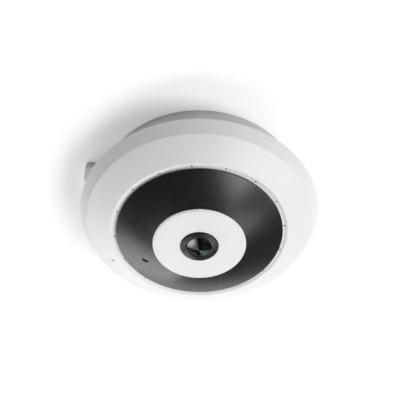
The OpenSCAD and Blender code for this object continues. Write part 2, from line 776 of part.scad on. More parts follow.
module sensor_board() {
    color(board_green) difference() {
        block([-sensor_board_x, sensor_board_front_y, sensor_board_z],
            [sensor_board_x, sensor_board_back_y, sensor_board_top_z]);
        for (p = posts) translate(p + [0, 0, sensor_board_z - over])
            cylinder(r = board_screw_hole_r, h = pcb_t + 2 * over);
    }
}
module inner_frame() {
    color([0.2, 0.2, 0.21]) difference() {
        union() {
            translate([0, 0, frame_bottom_z]) cylinder(r = frame_r, h = frame_t);
            for (a = ear_angles) at_polar(ear_ring_r, a) translate([0, 0, frame_bottom_z])
                cylinder(r = ear_r, h = frame_t);
            for (p = posts) translate(p + [0, 0, sensor_board_top_z])
                cylinder(r = post_r, h = post_h + frame_t);
            for (a = led_screw_angles) at_polar(led_screw_ring_r, a) translate([0, 0, frame_bottom_z])
                cylinder(r = led_pad_r, h = frame_t + led_pad_h);
        }
        block([-tray_x - frame_hole_gap, tray_front_y - frame_hole_gap, frame_bottom_z - over],
            [tray_x + frame_hole_gap, tray_back_y + frame_hole_gap, frame_top_z + over]);
        translate([speaker_place[0], speaker_place[1], frame_bottom_z - over])
            cylinder(r = speaker_mouth_r, h = frame_t + 2 * over);
        block([-led_window[0] / 2, led_socket_y - led_window[1] / 2, frame_bottom_z - over],
            [led_window[0] / 2, led_socket_y + led_window[1] / 2, frame_top_z + over]);
        for (a = ear_angles) at_polar(ear_ring_r, a) translate([0, 0, frame_bottom_z - over])
            cylinder(r = board_screw_hole_r, h = frame_t + 2 * over);
        for (p = posts) translate(p + [0, 0, sensor_board_top_z - over])
            cylinder(r = board_screw_pilot_r, h = board_screw_grip + screw_tip_gap + over);
        for (a = led_screw_angles) at_polar(led_screw_ring_r, a)
            translate([0, 0, led_board_z - led_grip - screw_tip_gap])
                cylinder(r = board_screw_pilot_r, h = led_grip + screw_tip_gap + over);
    }
}
led_grip = 1.6;
module led_board() {
    color(board_green) difference() {
        translate([0, 0, led_board_z]) tube(led_board_r, led_board_inner_r, led_board_t);
        for (a = led_screw_angles) at_polar(led_screw_ring_r, a) translate([0, 0, led_board_z - over])
            cylinder(r = board_screw_hole_r, h = led_board_t + 2 * over);
    }
}
led_in = 6;
led_ring_r = led_board_inner_r + led_in;
led_angles = [30, 90, 150, 210, 270, 330];
led_base = 3.5;
led_base_h = 0.9;
led_dome_r = 1.5;
led_dome_h = 1.2;
module infrared_leds() {
    color([0.85, 0.85, 0.7]) for (a = led_angles) at_polar(led_ring_r, a) {
        translate([-led_base / 2, -led_base / 2, led_board_top_z]) cube([led_base, led_base, led_base_h]);
        translate([0, 0, led_board_top_z + led_base_h - thread_gap]) cap(led_dome_r, led_dome_h);
    }
}
light_sensor_size = [3.2, 2, 1.4];
module light_sensor() {
    color(black) translate([light_sensor_x - light_sensor_size[0] / 2, -light_sensor_size[1] / 2,
        led_board_top_z]) cube(light_sensor_size);
}

// Main board and what stands on it
jack_w = 16;
jack_l = 21;
jack_x = bay_x + bay_wall + fit_gap;
network_y = bay_back_y - board_gap - jack_w;
network_mouth_w = 11.8;
network_mouth_h = 7;
network_mouth_z = 2.6;
network_key_w = 6;
network_key_h = 1.8;
network_mouth_l = 13;
mouth_margin = 0.6;
power_w = 9;
power_l = 14;
power_h = 11;
power_gap = 0.6;
power_y = bay_front_y + power_gap;
power_bore_r = 3.1;
power_bore_z = 6.5;
power_bore_l = 9;
power_pin_r = 1;
card_w = 14.7;
card_l = 15;
card_h = 1.85;
card_x = -19;
card_slot_inset = 1.8;
card_slot_h = 0.9;
card_slot_z = 0.5;
card_slot_l = 13;
card_y = bay_back_y + bay_wall + fit_gap;
reset_x = 1.5;
reset_r = 1.5;
reset_flange_r = 2.2;
reset_flange_t = 0.6;
reset_proud = 1.2;
reset_z = main_board_top_z + reset_flange_r + slide_gap;
reset_stem_r = 0.8;
reset_stem_l = 1.7;
switch_size = [6, 3.5, 4.4];
flange_gap = 0.2;
reset_back_y = bay_back_y + bay_wall + flange_gap + reset_flange_t;
switch_gap = 0.7;
switch_y = reset_back_y + reset_travel + switch_gap;

// Shapes of the two sockets' mouths, from a face at x and for a length along X
module network_mouth(x, length, margin) {
    centre_y = network_y + jack_w / 2;
    low_z = main_board_top_z + network_mouth_z;
    block([x, centre_y - network_mouth_w / 2 - margin, low_z - margin],
        [x + length, centre_y + network_mouth_w / 2 + margin, low_z + network_mouth_h + margin]);
    block([x, centre_y - network_key_w / 2 - margin, low_z],
        [x + length, centre_y + network_key_w / 2 + margin,
         low_z + network_mouth_h + network_key_h + margin]);
}
module power_mouth(x, length, margin) {
    translate([x, power_y + power_w / 2, main_board_top_z + power_bore_z]) rotate([0, 90, 0])
        cylinder(r = power_bore_r + margin, h = length);
}
module main_board() {
    color(board_green) difference() {
        translate([0, 0, main_board_z]) cylinder(r = board_r, h = pcb_t);
        block([bay_far_x - bay_wall - board_gap, -board_r - over, main_board_z - over],
            [jack_x, bay_back_y + bay_wall + board_gap, main_board_top_z + over]);
        for (a = board_screw_angles) at_polar(board_screw_ring_r, a)
            translate([0, 0, main_board_z - over]) cylinder(r = board_screw_hole_r, h = pcb_t + 2 * over);
    }
}
processor_size = [14, 14, 1.4];
processor_y = 24;
sink_size = 24;
sink_base = 1.5;
sink_h = 6.4;
fin_count = 7;
fin_t = 1.2;
module processor() {
    color([0.1, 0.1, 0.1]) translate([-processor_size[0] / 2, processor_y - processor_size[1] / 2,
        main_board_top_z]) cube(processor_size);
}
module heat_sink() {
    pitch = (sink_size - fin_t) / (fin_count - 1);
    color([0.6, 0.61, 0.63]) translate([-sink_size / 2, processor_y - sink_size / 2,
        main_board_top_z + processor_size[2]]) {
        cube([sink_size, sink_size, sink_base]);
        for (i = [0 : fin_count - 1]) translate([i * pitch, 0, 0]) cube([fin_t, sink_size, sink_h]);
    }
}
module network_jack() {
    color(steel) difference() {
        translate([jack_x, network_y, main_board_top_z]) cube([jack_l, jack_w, jack_h]);
        network_mouth(jack_x - over, network_mouth_l + over, 0);
    }
}
module network_transformer() {
    color(black) translate([jack_x + transformer_inset, card_y, main_board_top_z]) cube(transformer_size);
}
transformer_inset = 6.3;
transformer_size = [16, 9, 5.4];
module power_jack() {
    color(black) {
        difference() {
            translate([jack_x, power_y, main_board_top_z]) cube([power_l, power_w, power_h]);
            power_mouth(jack_x - over, power_bore_l + over, 0);
        }
        translate([jack_x + over, power_y + power_w / 2, main_board_top_z + power_bore_z])
            rotate([0, 90, 0]) cylinder(r = power_pin_r, h = power_bore_l);
    }
}
module card_socket() {
    color(steel) difference() {
        translate([card_x, card_y, main_board_top_z]) cube([card_w, card_l, card_h]);
        translate([card_x + card_slot_inset, card_y - over, main_board_top_z + card_slot_z])
            cube([card_w - 2 * card_slot_inset, card_slot_l + over, card_slot_h]);
    }
}
module reset_switch() {
    color(black) difference() {
        translate([reset_x - switch_size[0] / 2, switch_y, main_board_top_z]) cube(switch_size);
        translate([reset_x, switch_y - over, reset_z]) rotate([-90, 0, 0])
            cylinder(r = reset_stem_r + thread_gap, h = over + reset_stem_l);
    }
}
module reset_button() {
    cap_l = reset_proud + bay_wall + flange_gap + reset_flange_t;
    color([0.5, 0.5, 0.52]) translate([reset_x, bay_back_y - reset_proud, reset_z]) rotate([-90, 0, 0]) {
        cylinder(r = reset_r, h = cap_l);
        translate([0, 0, cap_l - reset_flange_t]) cylinder(r = reset_flange_r, h = reset_flange_t);
        translate([0, 0, cap_l - thread_gap]) cylinder(r = reset_stem_r, h = reset_stem_l + thread_gap);
    }
}

// Speaker under the frame's sound hole
speaker_flange_t = 1.4;
speaker_cup_r = 10.5;
speaker_cup_h = 2.2;
speaker_magnet_r = 7;
speaker_magnet_h = 1.8;
cone_t = 0.4;
module speaker() {
    color(steel) translate([speaker_place[0], speaker_place[1], frame_bottom_z - speaker_flange_t]) {
        difference() {
            union() {
                cylinder(r = speaker_r, h = speaker_flange_t);
                translate([0, 0, -speaker_cup_h])
                    cylinder(r1 = speaker_cup_r, r2 = speaker_r, h = speaker_cup_h);
                translate([0, 0, -speaker_cup_h - speaker_magnet_h])
                    cylinder(r = speaker_magnet_r, h = speaker_magnet_h + speaker_cup_h / 2);
            }
            cylinder(r = speaker_mouth_r, h = speaker_flange_t + over);
            translate([0, 0, -speaker_cup_h / 2])
                cylinder(r = speaker_magnet_r, h = speaker_cup_h / 2 + over);
        }
    }
}
module speaker_cone() {
    dome_r = speaker_magnet_r - part_gap;
    color([0.12, 0.12, 0.13]) translate([speaker_place[0], speaker_place[1],
        frame_bottom_z - speaker_flange_t]) {
        tube(speaker_mouth_r - fit_gap, dome_r - cone_t, cone_t);
        cap(dome_r, speaker_flange_t - cone_t);
    }
}

// Small board behind the face
module side_board() {
    color(board_green) on_face(side_r) translate([-side_board_size[0] / 2, -side_board_size[1] / 2,
        -side_board_depth - side_board_t]) cube([side_board_size[0], side_board_size[1], side_board_t]);
}
module microphone() {
    color([0.75, 0.65, 0.35]) on_side_board(-side_pitch / 2)
        translate([0, 0, -side_board_depth - side_board_t - mic_h]) cylinder(r = mic_r, h = mic_h);
}
mic_r = 1.6;
mic_h = 1.4;
module status_light() {
    color([0.85, 0.9, 0.95]) on_side_board(side_pitch / 2)
        translate([0, 0, -side_board_depth]) cylinder(r = light_hole_r - thread_gap, h = side_board_depth);
}

// Connectors and flat leads
socket_h = 1.6;
socket_t = 3;
ribbon_t = 0.3;
ribbon_w = 10;
sensor_socket_x = 11;
board_socket_x = 8;
led_ribbon_w = 6;
led_socket_h = 1.2;
led_board_socket_inset = 8.4;
led_board_socket_y = board_r - led_board_socket_inset;
speaker_lead_w = 2.4;
speaker_lead_t = 0.9;
speaker_lead_y = speaker_place[1] + speaker_cup_r - speaker_lead_t;
speaker_socket_y = 21;
side_lead_w = 4;
side_lead_drop = 1.6;
side_lead_in = 4.3;
side_lead_from = [side_r - side_lead_in, face_z(side_r) - side_board_depth - side_board_t - side_lead_drop];
side_socket_inset = 6.4;
side_socket_x = board_r - side_socket_inset;
socket_top_z = main_board_top_z + socket_h;

module socket_at(x, y, width, along_y, z, h) {
    size = along_y ? [width, socket_t, h] : [socket_t, width, h];
    translate([x - size[0] / 2, y - size[1] / 2, z]) cube(size);
}
module board_connectors() {
    color([0.9, 0.88, 0.8]) {
        socket_at(board_socket_x, 0, ribbon_w + socket_t, false, main_board_top_z, socket_h);
        socket_at(sensor_socket_x, 0, ribbon_w + socket_t, false, sensor_board_z - socket_h, socket_h);
        socket_at(0, led_board_socket_y, led_ribbon_w + socket_t / 2, true, main_board_top_z, socket_h);
        socket_at(0, led_socket_y, led_ribbon_w + socket_t / 2, true, led_board_z - led_socket_h,
            led_socket_h);
        socket_at(speaker_place[0], speaker_socket_y, socket_t * 2, true, main_board_top_z, socket_h);
        socket_at(side_socket_x, 0, side_lead_w + socket_t / 2, false, main_board_top_z, socket_h);
    }
}
module sensor_ribbon() {
    color(amber) lead([board_socket_x, socket_top_z], [sensor_socket_x, sensor_board_z - socket_h],
        ribbon_w, ribbon_t);
}
module led_ribbon() {
    color(amber) rotate([0, 0, 90]) lead([led_board_socket_y, socket_top_z],
        [led_socket_y, led_board_z - led_socket_h], led_ribbon_w, ribbon_t);
}
module speaker_ribbon() {
    color(black) translate([speaker_place[0], 0, 0]) rotate([0, 0, 90])
        lead([speaker_socket_y, socket_top_z],
            [speaker_lead_y, frame_bottom_z - speaker_flange_t - speaker_cup_h],
            speaker_lead_w, speaker_lead_t);
}
module side_ribbon() {
    color(black) lead([side_socket_x, socket_top_z], side_lead_from, side_lead_w, ribbon_t);
}

// Screws
module board_screws() {
    color(steel) {
        for (a = board_screw_angles) at_polar(board_screw_ring_r, a)
            translate([0, 0, main_board_top_z]) mirror([0, 0, 1])
                screw(board_screw_r, board_screw_grip + pcb_t, board_screw_head_r, board_screw_head_h);
        for (p = posts) translate(p + [0, 0, sensor_board_z])
            screw(board_screw_r, board_screw_grip + pcb_t, board_screw_head_r, board_screw_head_h);
        for (a = led_screw_angles) at_polar(led_screw_ring_r, a)
            translate([0, 0, led_board_top_z]) mirror([0, 0, 1])
                screw(board_screw_r, led_grip + led_board_t, board_screw_head_r, board_screw_head_h);
    }
}
module frame_screws() {
    color(steel) for (a = ear_angles) at_polar(ear_ring_r, a) translate([0, 0, frame_bottom_z])
        screw(board_screw_r, board_screw_grip + frame_t, board_screw_head_r, board_screw_head_h);
}
module shell_screws() {
    color(steel) for (a = shell_screw_angles) at_polar(shell_screw_ring_r, a)
        translate([0, 0, shell_screw_seat_z])
            screw(shell_screw_r, shell_screw_l, shell_screw_head_r, shell_screw_head_h);
}

mount_plate();
rear_cover();
front_shell();
window_ring();
lens_disc();
lens_bezel();
front_lens();
inner_lenses();
lens_spacers();
lens_barrel();
lens_holder();
filter_housing();
filter_slide();
filter_panes();
filter_rotor();
filter_coil();
filter_yoke();
image_sensor();
sensor_board();
inner_frame();
led_board();
infrared_leds();
light_sensor();
main_board();
processor();
heat_sink();
network_jack();
network_transformer();
power_jack();
card_socket();
reset_switch();
reset_button();
speaker();
speaker_cone();
side_board();
microphone();
status_light();
board_connectors();
sensor_ribbon();
led_ribbon();
speaker_ribbon();
side_ribbon();
board_screws();
frame_screws();
shell_screws();
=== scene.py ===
"""Fisheye ceiling camera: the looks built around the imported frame.

The part lies on its mounting face with the lens up. +Z is the viewing direction and +X points at the
light sensor's hole. Every length is in metres; MM turns millimetres into them.
"""
import logging
import math
from dataclasses import dataclass
from enum import Enum
from typing import Callable, Iterable, Sequence

import bpy
from mathutils import Matrix, Vector


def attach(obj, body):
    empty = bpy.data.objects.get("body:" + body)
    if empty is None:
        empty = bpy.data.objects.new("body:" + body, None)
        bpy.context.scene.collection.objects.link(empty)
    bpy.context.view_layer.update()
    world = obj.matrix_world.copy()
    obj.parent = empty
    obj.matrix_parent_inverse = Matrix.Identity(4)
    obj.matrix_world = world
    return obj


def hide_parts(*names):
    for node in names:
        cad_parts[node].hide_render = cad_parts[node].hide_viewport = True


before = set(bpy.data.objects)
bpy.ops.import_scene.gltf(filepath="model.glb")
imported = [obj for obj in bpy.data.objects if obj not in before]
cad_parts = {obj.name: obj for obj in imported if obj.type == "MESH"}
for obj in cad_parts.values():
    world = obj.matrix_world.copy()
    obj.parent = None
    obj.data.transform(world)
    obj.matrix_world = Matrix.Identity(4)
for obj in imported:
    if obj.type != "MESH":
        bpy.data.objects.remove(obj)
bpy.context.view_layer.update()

LOG = logging.getLogger("fisheye_camera")
MM = 0.001
SPIN_STEPS = 240
ROUND_STEPS = 5
RIM_STEPS = 3
ROD_SIDES = 48
FINE_SIDES = 32
MERGE_REACH = 0.002 * MM
SMOOTH_ANGLE = math.radians(28)
CUT_OVERRUN = 0.5 * MM
RUNNING_GAP = 0.05 * MM
PLASTIC_INDEX = 1.5
GLASS_INDEX = 1.52
NOISE_RANGE = (0.3, 0.7)
WAVE_SCALE = math.pi / 10
MOTTLE_SIZE = 18 * MM
SHEEN_SIZE = 6 * MM
SWELL_SIZE = 14 * MM
HAZE_SIZE = 4 * MM
RUB_SIZE = 0.15 * MM
RUB_DEPTH = 0.001 * MM
STAIN_SIZE = 3 * MM
DUST_SIZE = 1.2 * MM
MASK_BLOT = 2 * MM
FILM_BLOT = 1.5 * MM
CARRIER = "camera"
Colour = tuple[float, float, float]
Pair = tuple[float, float]
Sizes = tuple[float, ...]
Piece = bpy.types.Object
Socket = bpy.types.NodeSocket
Material = bpy.types.Material


class Axis(Enum):
    """The way a pattern of lines runs over a piece."""

    X = "X"
    Y = "Y"
    Z = "Z"


@dataclass(frozen=True)
class Corner:
    """One corner of an outline beside the axis.

    Attributes:
        radius: Distance from the axis.
        height: Height above the mounting face.
        rounding: Radius of the corner's rounding, or 0 for a sharp one.
    """

    radius: float
    height: float
    rounding: float = 0.0

    def point(self) -> Vector:
        """Gives the corner's place in the XZ plane."""
        return Vector((self.radius, 0.0, self.height))


def corner(radius_mm: float, height_mm: float, rounding_mm: float = 0.0) -> Corner:
    """Makes a corner from its radius, height and rounding in millimetres."""
    return Corner(radius_mm * MM, height_mm * MM, rounding_mm * MM)


def placed(*rows: Sequence[float], unit: float = 1.0) -> tuple[Corner, ...]:
    """Makes corners from rows of radius, height and rounding, in metres or another unit."""
    return tuple(Corner(*(value * unit for value in row)) for row in rows)


def inset_corner(before: Corner, here: Corner, after: Corner, depth: float) -> Corner:
    """Moves a corner inwards by the same depth from both of its sides.

    Args:
        before: The corner ahead of it.
        here: The corner itself.
        after: The corner behind it.
        depth: How far each side moves to the left of its own direction.

    Returns:
        The moved corner, without a rounding.
    """
    arriving = (here.point() - before.point()).normalized()
    leaving = (after.point() - here.point()).normalized()
    left = Vector((-arriving.z, 0, arriving.x)) + Vector((-leaving.z, 0, leaving.x))
    place = here.point() + left * depth / (1 + arriving.dot(leaving))
    return Corner(place.x, place.z)


def deselect_all() -> None:
    """Leaves edit mode and deselects every object."""
    if bpy.context.mode != "OBJECT":
        bpy.ops.object.mode_set(mode="OBJECT")
    bpy.ops.object.select_all(action="DESELECT")


def hold(piece: Piece) -> None:
    """Selects one piece alone and makes it the active one.

    Args:
        piece: The piece to hold.
    """
    deselect_all()
    piece.select_set(True)
    bpy.context.view_layer.objects.active = piece


def edit(piece: Piece, select: str = "SELECT") -> None:
    """Opens a piece in edit mode with all or none of it selected.

    Args:
        piece: The piece to open.
        select: The action for its elements, SELECT or DESELECT.
    """
    hold(piece)
    bpy.ops.object.mode_set(mode="EDIT")
    bpy.ops.mesh.select_mode(type="VERT")
    bpy.ops.mesh.select_all(action=select)


def pick_vertices(piece: Piece, wanted: Callable[[Vector], bool]) -> None:
    """Selects the vertices whose place passes a test, and leaves the piece in edit mode.

    Args:
        piece: The piece to select on.
        wanted: The test of a vertex's place.
    """
    edit(piece, "DESELECT")
    bpy.ops.object.mode_set(mode="OBJECT")
    for vertex in piece.data.vertices:
        vertex.select = wanted(vertex.co)
    bpy.ops.object.mode_set(mode="EDIT")


def settle(piece: Piece) -> None:
    """Merges doubled vertices, turns the faces outwards and puts the piece's place in its mesh.

    Args:
        piece: The piece to settle.
    """
    edit(piece)
    bpy.ops.mesh.remove_doubles(threshold=MERGE_REACH)
    bpy.ops.mesh.normals_make_consistent(inside=False)
    hold(piece)
    bpy.ops.object.transform_apply(location=True, rotation=True, scale=True)


def fresh(name: str) -> Piece:
    """Names the primitive that was just added and puts its place in its mesh.

    Args:
        name: Its name.

    Returns:
        The named piece.
    """
    piece = bpy.context.object
    piece.name = piece.data.name = name
    bpy.ops.object.transform_apply(location=True, rotation=True, scale=True)
    return piece


def twin(piece: Piece) -> Piece:
    """Makes a copy of a piece with its own mesh.

    Args:
        piece: The piece to copy.

    Returns:
        The copy.
    """
    hold(piece)
    bpy.ops.object.duplicate(linked=False)
    return bpy.context.object


def spin_outline(name: str, corners: Sequence[Corner], closed: bool = True) -> Piece:
    """Draws an outline beside the axis, rounds its corners and spins it round the axis.

    Args:
        name: The new piece's name.
        corners: The outline's corners in order.
        closed: Whether the last corner joins the first.

    Returns:
        The solid as a new object.
    """
    deselect_all()
    bpy.ops.mesh.primitive_plane_add(size=MM, location=corners[0].point())
    piece = fresh(name)
    edit(piece)
    bpy.ops.mesh.merge(type="CENTER")
    for before, after in zip(corners, corners[1:]):
        stride = after.point() - before.point()
        bpy.ops.mesh.extrude_region_move(TRANSFORM_OT_translate={"value": stride})
    if closed:
        ends = (corners[0].point(), corners[-1].point())
        pick_vertices(piece, lambda place: min((place - end).length for end in ends) < MERGE_REACH)
        bpy.ops.mesh.edge_face_add()
    for index, turn in enumerate(corners):
        if turn.rounding:
            round_corner(piece, corners, index)
    edit(piece)
    bpy.ops.mesh.spin(steps=SPIN_STEPS, dupli=False, angle=math.tau, center=(0, 0, 0), axis=(0, 0, 1))
    settle(piece)
    return piece


def round_corner(piece: Piece, corners: Sequence[Corner], index: int) -> None:
    """Rounds one corner of a drawn outline with a vertex bevel.

    Args:
        piece: The outline.
        corners: All of its corners.
        index: Which one is rounded.
    """
    here = corners[index].point()
    arriving = here - corners[index - 1].point()
    leaving = corners[(index + 1) % len(corners)].point() - here
    pick_vertices(piece, lambda place: (place - here).length < MERGE_REACH)
    bpy.ops.mesh.bevel(
        offset=corners[index].rounding * math.tan(arriving.angle(leaving) / 2),
        segments=ROUND_STEPS, affect="VERTICES")


def rod(name: str, radius: float, low: Vector, high: Vector, sides: int = ROD_SIDES,
        rim: float = 0.0) -> Piece:
    """Makes a round rod between two points.

    Args:
        name: The rod's name.
        radius: Its radius.
        low: The centre of one end.
        high: The centre of the other end.
        sides: How many sides it has.
        rim: The bevel round the ends.

    Returns:
        The rod as a new object with its place in its mesh.
    """
    deselect_all()
    along = high - low
    bpy.ops.mesh.primitive_cylinder_add(
        vertices=sides, radius=radius, depth=along.length, location=(low + high) / 2,
        rotation=along.to_track_quat("Z", "Y").to_euler())
    piece = fresh(name)
    if rim:
        edit(piece, "DESELECT")
        bpy.ops.mesh.select_mode(type="FACE")
        bpy.ops.mesh.select_face_by_sides(number=4, type="GREATER")
        bpy.ops.mesh.bevel(offset=rim, segments=RIM_STEPS, affect="EDGES")
    hold(piece)
    return piece


def turned_copies(piece: Piece, angles: Iterable[float]) -> Piece:
    """Copies a piece round the axis and joins the copies, each with its own mesh.

    Args:
        piece: The piece at angle 0, which is used up.
        angles: The angle of each copy in degrees.

    Returns:
        All copies as one object.
    """
    copies = []
    for angle in angles:
        copies.append(twin(piece))
        copies[-1].data.transform(Matrix.Rotation(math.radians(angle), 4, "Z"))
    bpy.data.objects.remove(piece)
    deselect_all()
    for copy in copies:
        copy.select_set(True)
    bpy.context.view_layer.objects.active = copies[0]
    bpy.ops.object.join()
    return bpy.context.object


class Join(Enum):
    """How two solids meet."""

    CUT = "DIFFERENCE"
    ADD = "UNION"
    SHARE = "INTERSECT"


def meet(piece: Piece, tool: Piece, how: Join) -> None:
    """Cuts, adds or trims a piece with a tool, which is used up.

    Args:
        piece: The piece that is kept.
        tool: The other solid.
        how: What the two make together.
    """
    hold(piece)
    step = piece.modifiers.new("meet", "BOOLEAN")
    step.operation = how.value
    step.solver = "EXACT"
    step.object = tool
    bpy.ops.object.modifier_apply(modifier=step.name)
    bpy.data.objects.remove(tool)


class Graph:
    """A material's nodes, with short calls to add and join them."""

    def __init__(self, name: str) -> None:
        """Starts a material with its shader and its Object coordinates.

        Args:
            name: The material's name.
        """
        self.material = bpy.data.materials.new(name)
        self.material.use_nodes = True
        self.tree = self.material.node_tree
        self.shader = self.tree.nodes["Principled BSDF"]
        self.place = self.tree.nodes.new("ShaderNodeTexCoord").outputs["Object"]

    def add(self, kind: str, **values: object) -> bpy.types.Node:
        """Adds a node.

        Args:
            kind: The node's type without the ShaderNode in front.
            **values: Values or links of its inputs, with _ for each space in their names.

        Returns:
            The node.
        """
        node = self.tree.nodes.new("ShaderNode" + kind)
        for name, value in values.items():
            self.give(node.inputs[name.replace("_", " ")], value)
        return node

    def give(self, socket: Socket, value: float | Colour | Socket) -> None:
        """Links or sets one input.

        Args:
            socket: The input.
            value: An output to link, a number, or a colour without its alpha.
        """
        if isinstance(value, Socket):
            self.tree.links.new(value, socket)
        else:
            socket.default_value = (*value, 1) if isinstance(value, tuple) else value

    def shade(self, **values: object) -> None:
        """Gives the shader's inputs their values or links."""
        for name, value in values.items():
            self.give(self.shader.inputs[name.replace("_", " ")], value)

    def cloud(self, size: float, detail: float = 2.0) -> Socket:
        """Adds a noise from 0 to 1 with blots of a size in metres and some finer layers."""
        return self.add("TexNoise", Vector=self.place, Scale=1 / size, Detail=detail).outputs["Fac"]

    def spread(self, source: Socket, mean: float, share: float) -> Socket:
        """Maps a noise's middle part to a range that reaches a share of the mean round it."""
        node = self.add("MapRange", Value=source, From_Min=NOISE_RANGE[0], From_Max=NOISE_RANGE[1],
                        To_Min=mean * (1 - share), To_Max=mean * (1 + share))
        return node.outputs["Result"]

    def mixed(self, source: Socket, low: Colour | Socket, high: Colour | Socket) -> Socket:
        """Mixes two colours, each a value or a link, by a value.

        Args:
            source: The value from 0 to 1.
            low: The colour at 0.
            high: The colour at 1.

        Returns:
            The mixed colour.
        """
        node = self.tree.nodes.new("ShaderNodeMix")
        node.data_type = "RGBA"
        self.give(node.inputs["Factor"], source)
        self.give(node.inputs["A"], low)
        self.give(node.inputs["B"], high)
        return node.outputs["Result"]

    def calculate(self, operation: str, *values: float | Socket) -> Socket:
        """Adds a calculation.

        Args:
            operation: The Math node's operation.
            *values: Its inputs, each a number or a link.

        Returns:
            The result.
        """
        node = self.tree.nodes.new("ShaderNodeMath")
        node.operation = operation
        for socket, value in zip(node.inputs, values):
            self.give(socket, value)
        return node.outputs["Value"]

    def relief(self, height: Socket, depth: float, **under: Socket) -> Socket:
        """Adds a bump of a depth in metres, over the Normal of another relief if one is given."""
        return self.add("Bump", Height=height, Distance=depth, **under).outputs["Normal"]

    def step(self, source: Socket, level: float, edge: float = 0.04) -> Socket:
        """Turns a value into 0 below a level and 1 above it, with a soft edge on both sides."""
        node = self.add("MapRange", Value=source, From_Min=level - edge, From_Max=level + edge)
        return node.outputs["Result"]

    def lines(self, pitch: float, axis: Axis, blur: float = 0.0) -> Socket:
        """Adds parallel lines.

        Args:
            pitch: The distance from line to line in metres.
            axis: The direction that crosses the lines.
            blur: How uneven the lines are.

        Returns:
            The lines from 0 to 1.
        """
        node = self.add("TexWave", Vector=self.place, Scale=WAVE_SCALE / pitch, Distortion=blur)
        node.bands_direction = axis.value
        return node.outputs["Fac"]


def shaded(colour: Colour, share: float) -> Colour:
    """Makes a colour lighter or darker by a share of itself."""
    return tuple(min(1.0, channel * (1 + share)) for channel in colour)


@dataclass(frozen=True)
class Finish:
    """What all finishes share.

    Attributes:
        name: The material's name.
    """

    name: str

    def make(self) -> Material:
        """Builds the material.

        Returns:
            The material.
        """
        graph = Graph(self.name)
        self.paint(graph)
        return graph.material

    def paint(self, graph: Graph) -> None:
        """Gives the shader its looks, which each kind of finish does in its own way."""
        raise NotImplementedError


@dataclass(frozen=True)
class Moulded(Finish):
    """A moulded plastic with a fine grain.

    Attributes:
        colour: Its colour.
        roughness: Its mean roughness.
        mottle: How much its colour varies.
        grain: The size of the mould's grain.
        depth: The depth of that grain.
    """

    colour: Colour
    roughness: float = 0.45
    mottle: float = 0.015
    grain: float = 0.35 * MM
    depth: float = 0.004 * MM

    def paint(self, graph: Graph) -> None:
        """Paints a faint mottle and a fine grain.

        Args:
            graph: The material's nodes.
        """
        blots = graph.cloud(MOTTLE_SIZE, 3)
        graph.shade(
            Base_Color=graph.mixed(
                blots, shaded(self.colour, -self.mottle), shaded(self.colour, self.mottle)),
            Roughness=graph.spread(graph.cloud(SHEEN_SIZE, 4), self.roughness, 0.1),
            Normal=graph.relief(graph.cloud(self.grain, 4), self.depth), IOR=PLASTIC_INDEX)


@dataclass(frozen=True)
class SmokedWindow(Finish):
    """A polished black plastic that lets infrared through.

    Attributes:
        colour: Its colour.
        roughness: Its roughness, from a haze of fine rubbing marks.
        ripple: The depth of the slow ripple of its moulding.
    """

    colour: Colour = (0.006, 0.006, 0.0065)
    roughness: float = 0.28
    ripple: float = 0.003 * MM

    def paint(self, graph: Graph) -> None:
        """Paints the ripple and a haze of rubbing marks.

        Args:
            graph: The material's nodes.
        """
        haze = graph.cloud(HAZE_SIZE, 5)
        ripple = graph.relief(graph.cloud(SWELL_SIZE, 1), self.ripple)
        graph.shade(
            Base_Color=graph.mixed(haze, self.colour, shaded(self.colour, 0.4)),
            Roughness=graph.spread(haze, self.roughness, 0.08),
            Normal=graph.relief(graph.cloud(RUB_SIZE, 3), RUB_DEPTH, Normal=ripple), IOR=PLASTIC_INDEX)


@dataclass(frozen=True)
class Metal(Finish):
    """A metal with brushing or turning marks.

    Attributes:
        colour: Its colour.
        roughness: Its mean roughness.
        pitch: The distance between the marks.
        axis: The direction across the marks.
        depth: The depth of the marks.
        wander: How uneven the marks are.
    """

    colour: Colour
    roughness: float = 0.3
    pitch: float = 0.15 * MM
    axis: Axis = Axis.X
    depth: float = 0.004 * MM
    wander: float = 2.0

    def paint(self, graph: Graph) -> None:
        """Paints the marks and a slight stain.

        Args:
            graph: The material's nodes.
        """
        marks = graph.lines(self.pitch, self.axis, self.wander)
        blots = graph.cloud(STAIN_SIZE, 3)
        graph.shade(
            Base_Color=graph.mixed(blots, shaded(self.colour, -0.08), shaded(self.colour, 0.05)),
            Metallic=1.0,
            Roughness=graph.spread(blots, self.roughness, 0.2),
            Normal=graph.relief(marks, self.depth))


@dataclass(frozen=True)
class Glass(Finish):
    """A polished glass or clear resin.

    Attributes:
        colour: The tint of what shows through.
        roughness: Its roughness.
        clear: How much light it lets through.
        coat: The strength of its surface coating.
        coat_tint: The colour of that coating.
    """

    colour: Colour
    roughness: float = 0.03
    clear: float = 1.0
    coat: float = 0.0
    coat_tint: Colour = (1.0, 1.0, 1.0)

    def paint(self, graph: Graph) -> None:
        """Paints the tint, the coating and a trace of dust.

        Args:
            graph: The material's nodes.
        """
        dust = graph.cloud(DUST_SIZE, 4)
        graph.shade(
            Base_Color=graph.mixed(dust, shaded(self.colour, -0.03), self.colour),
            Roughness=graph.spread(dust, self.roughness, 0.3),
            Transmission_Weight=self.clear, IOR=GLASS_INDEX,
            Coat_Weight=self.coat, Coat_Roughness=0.03, Coat_Tint=self.coat_tint)


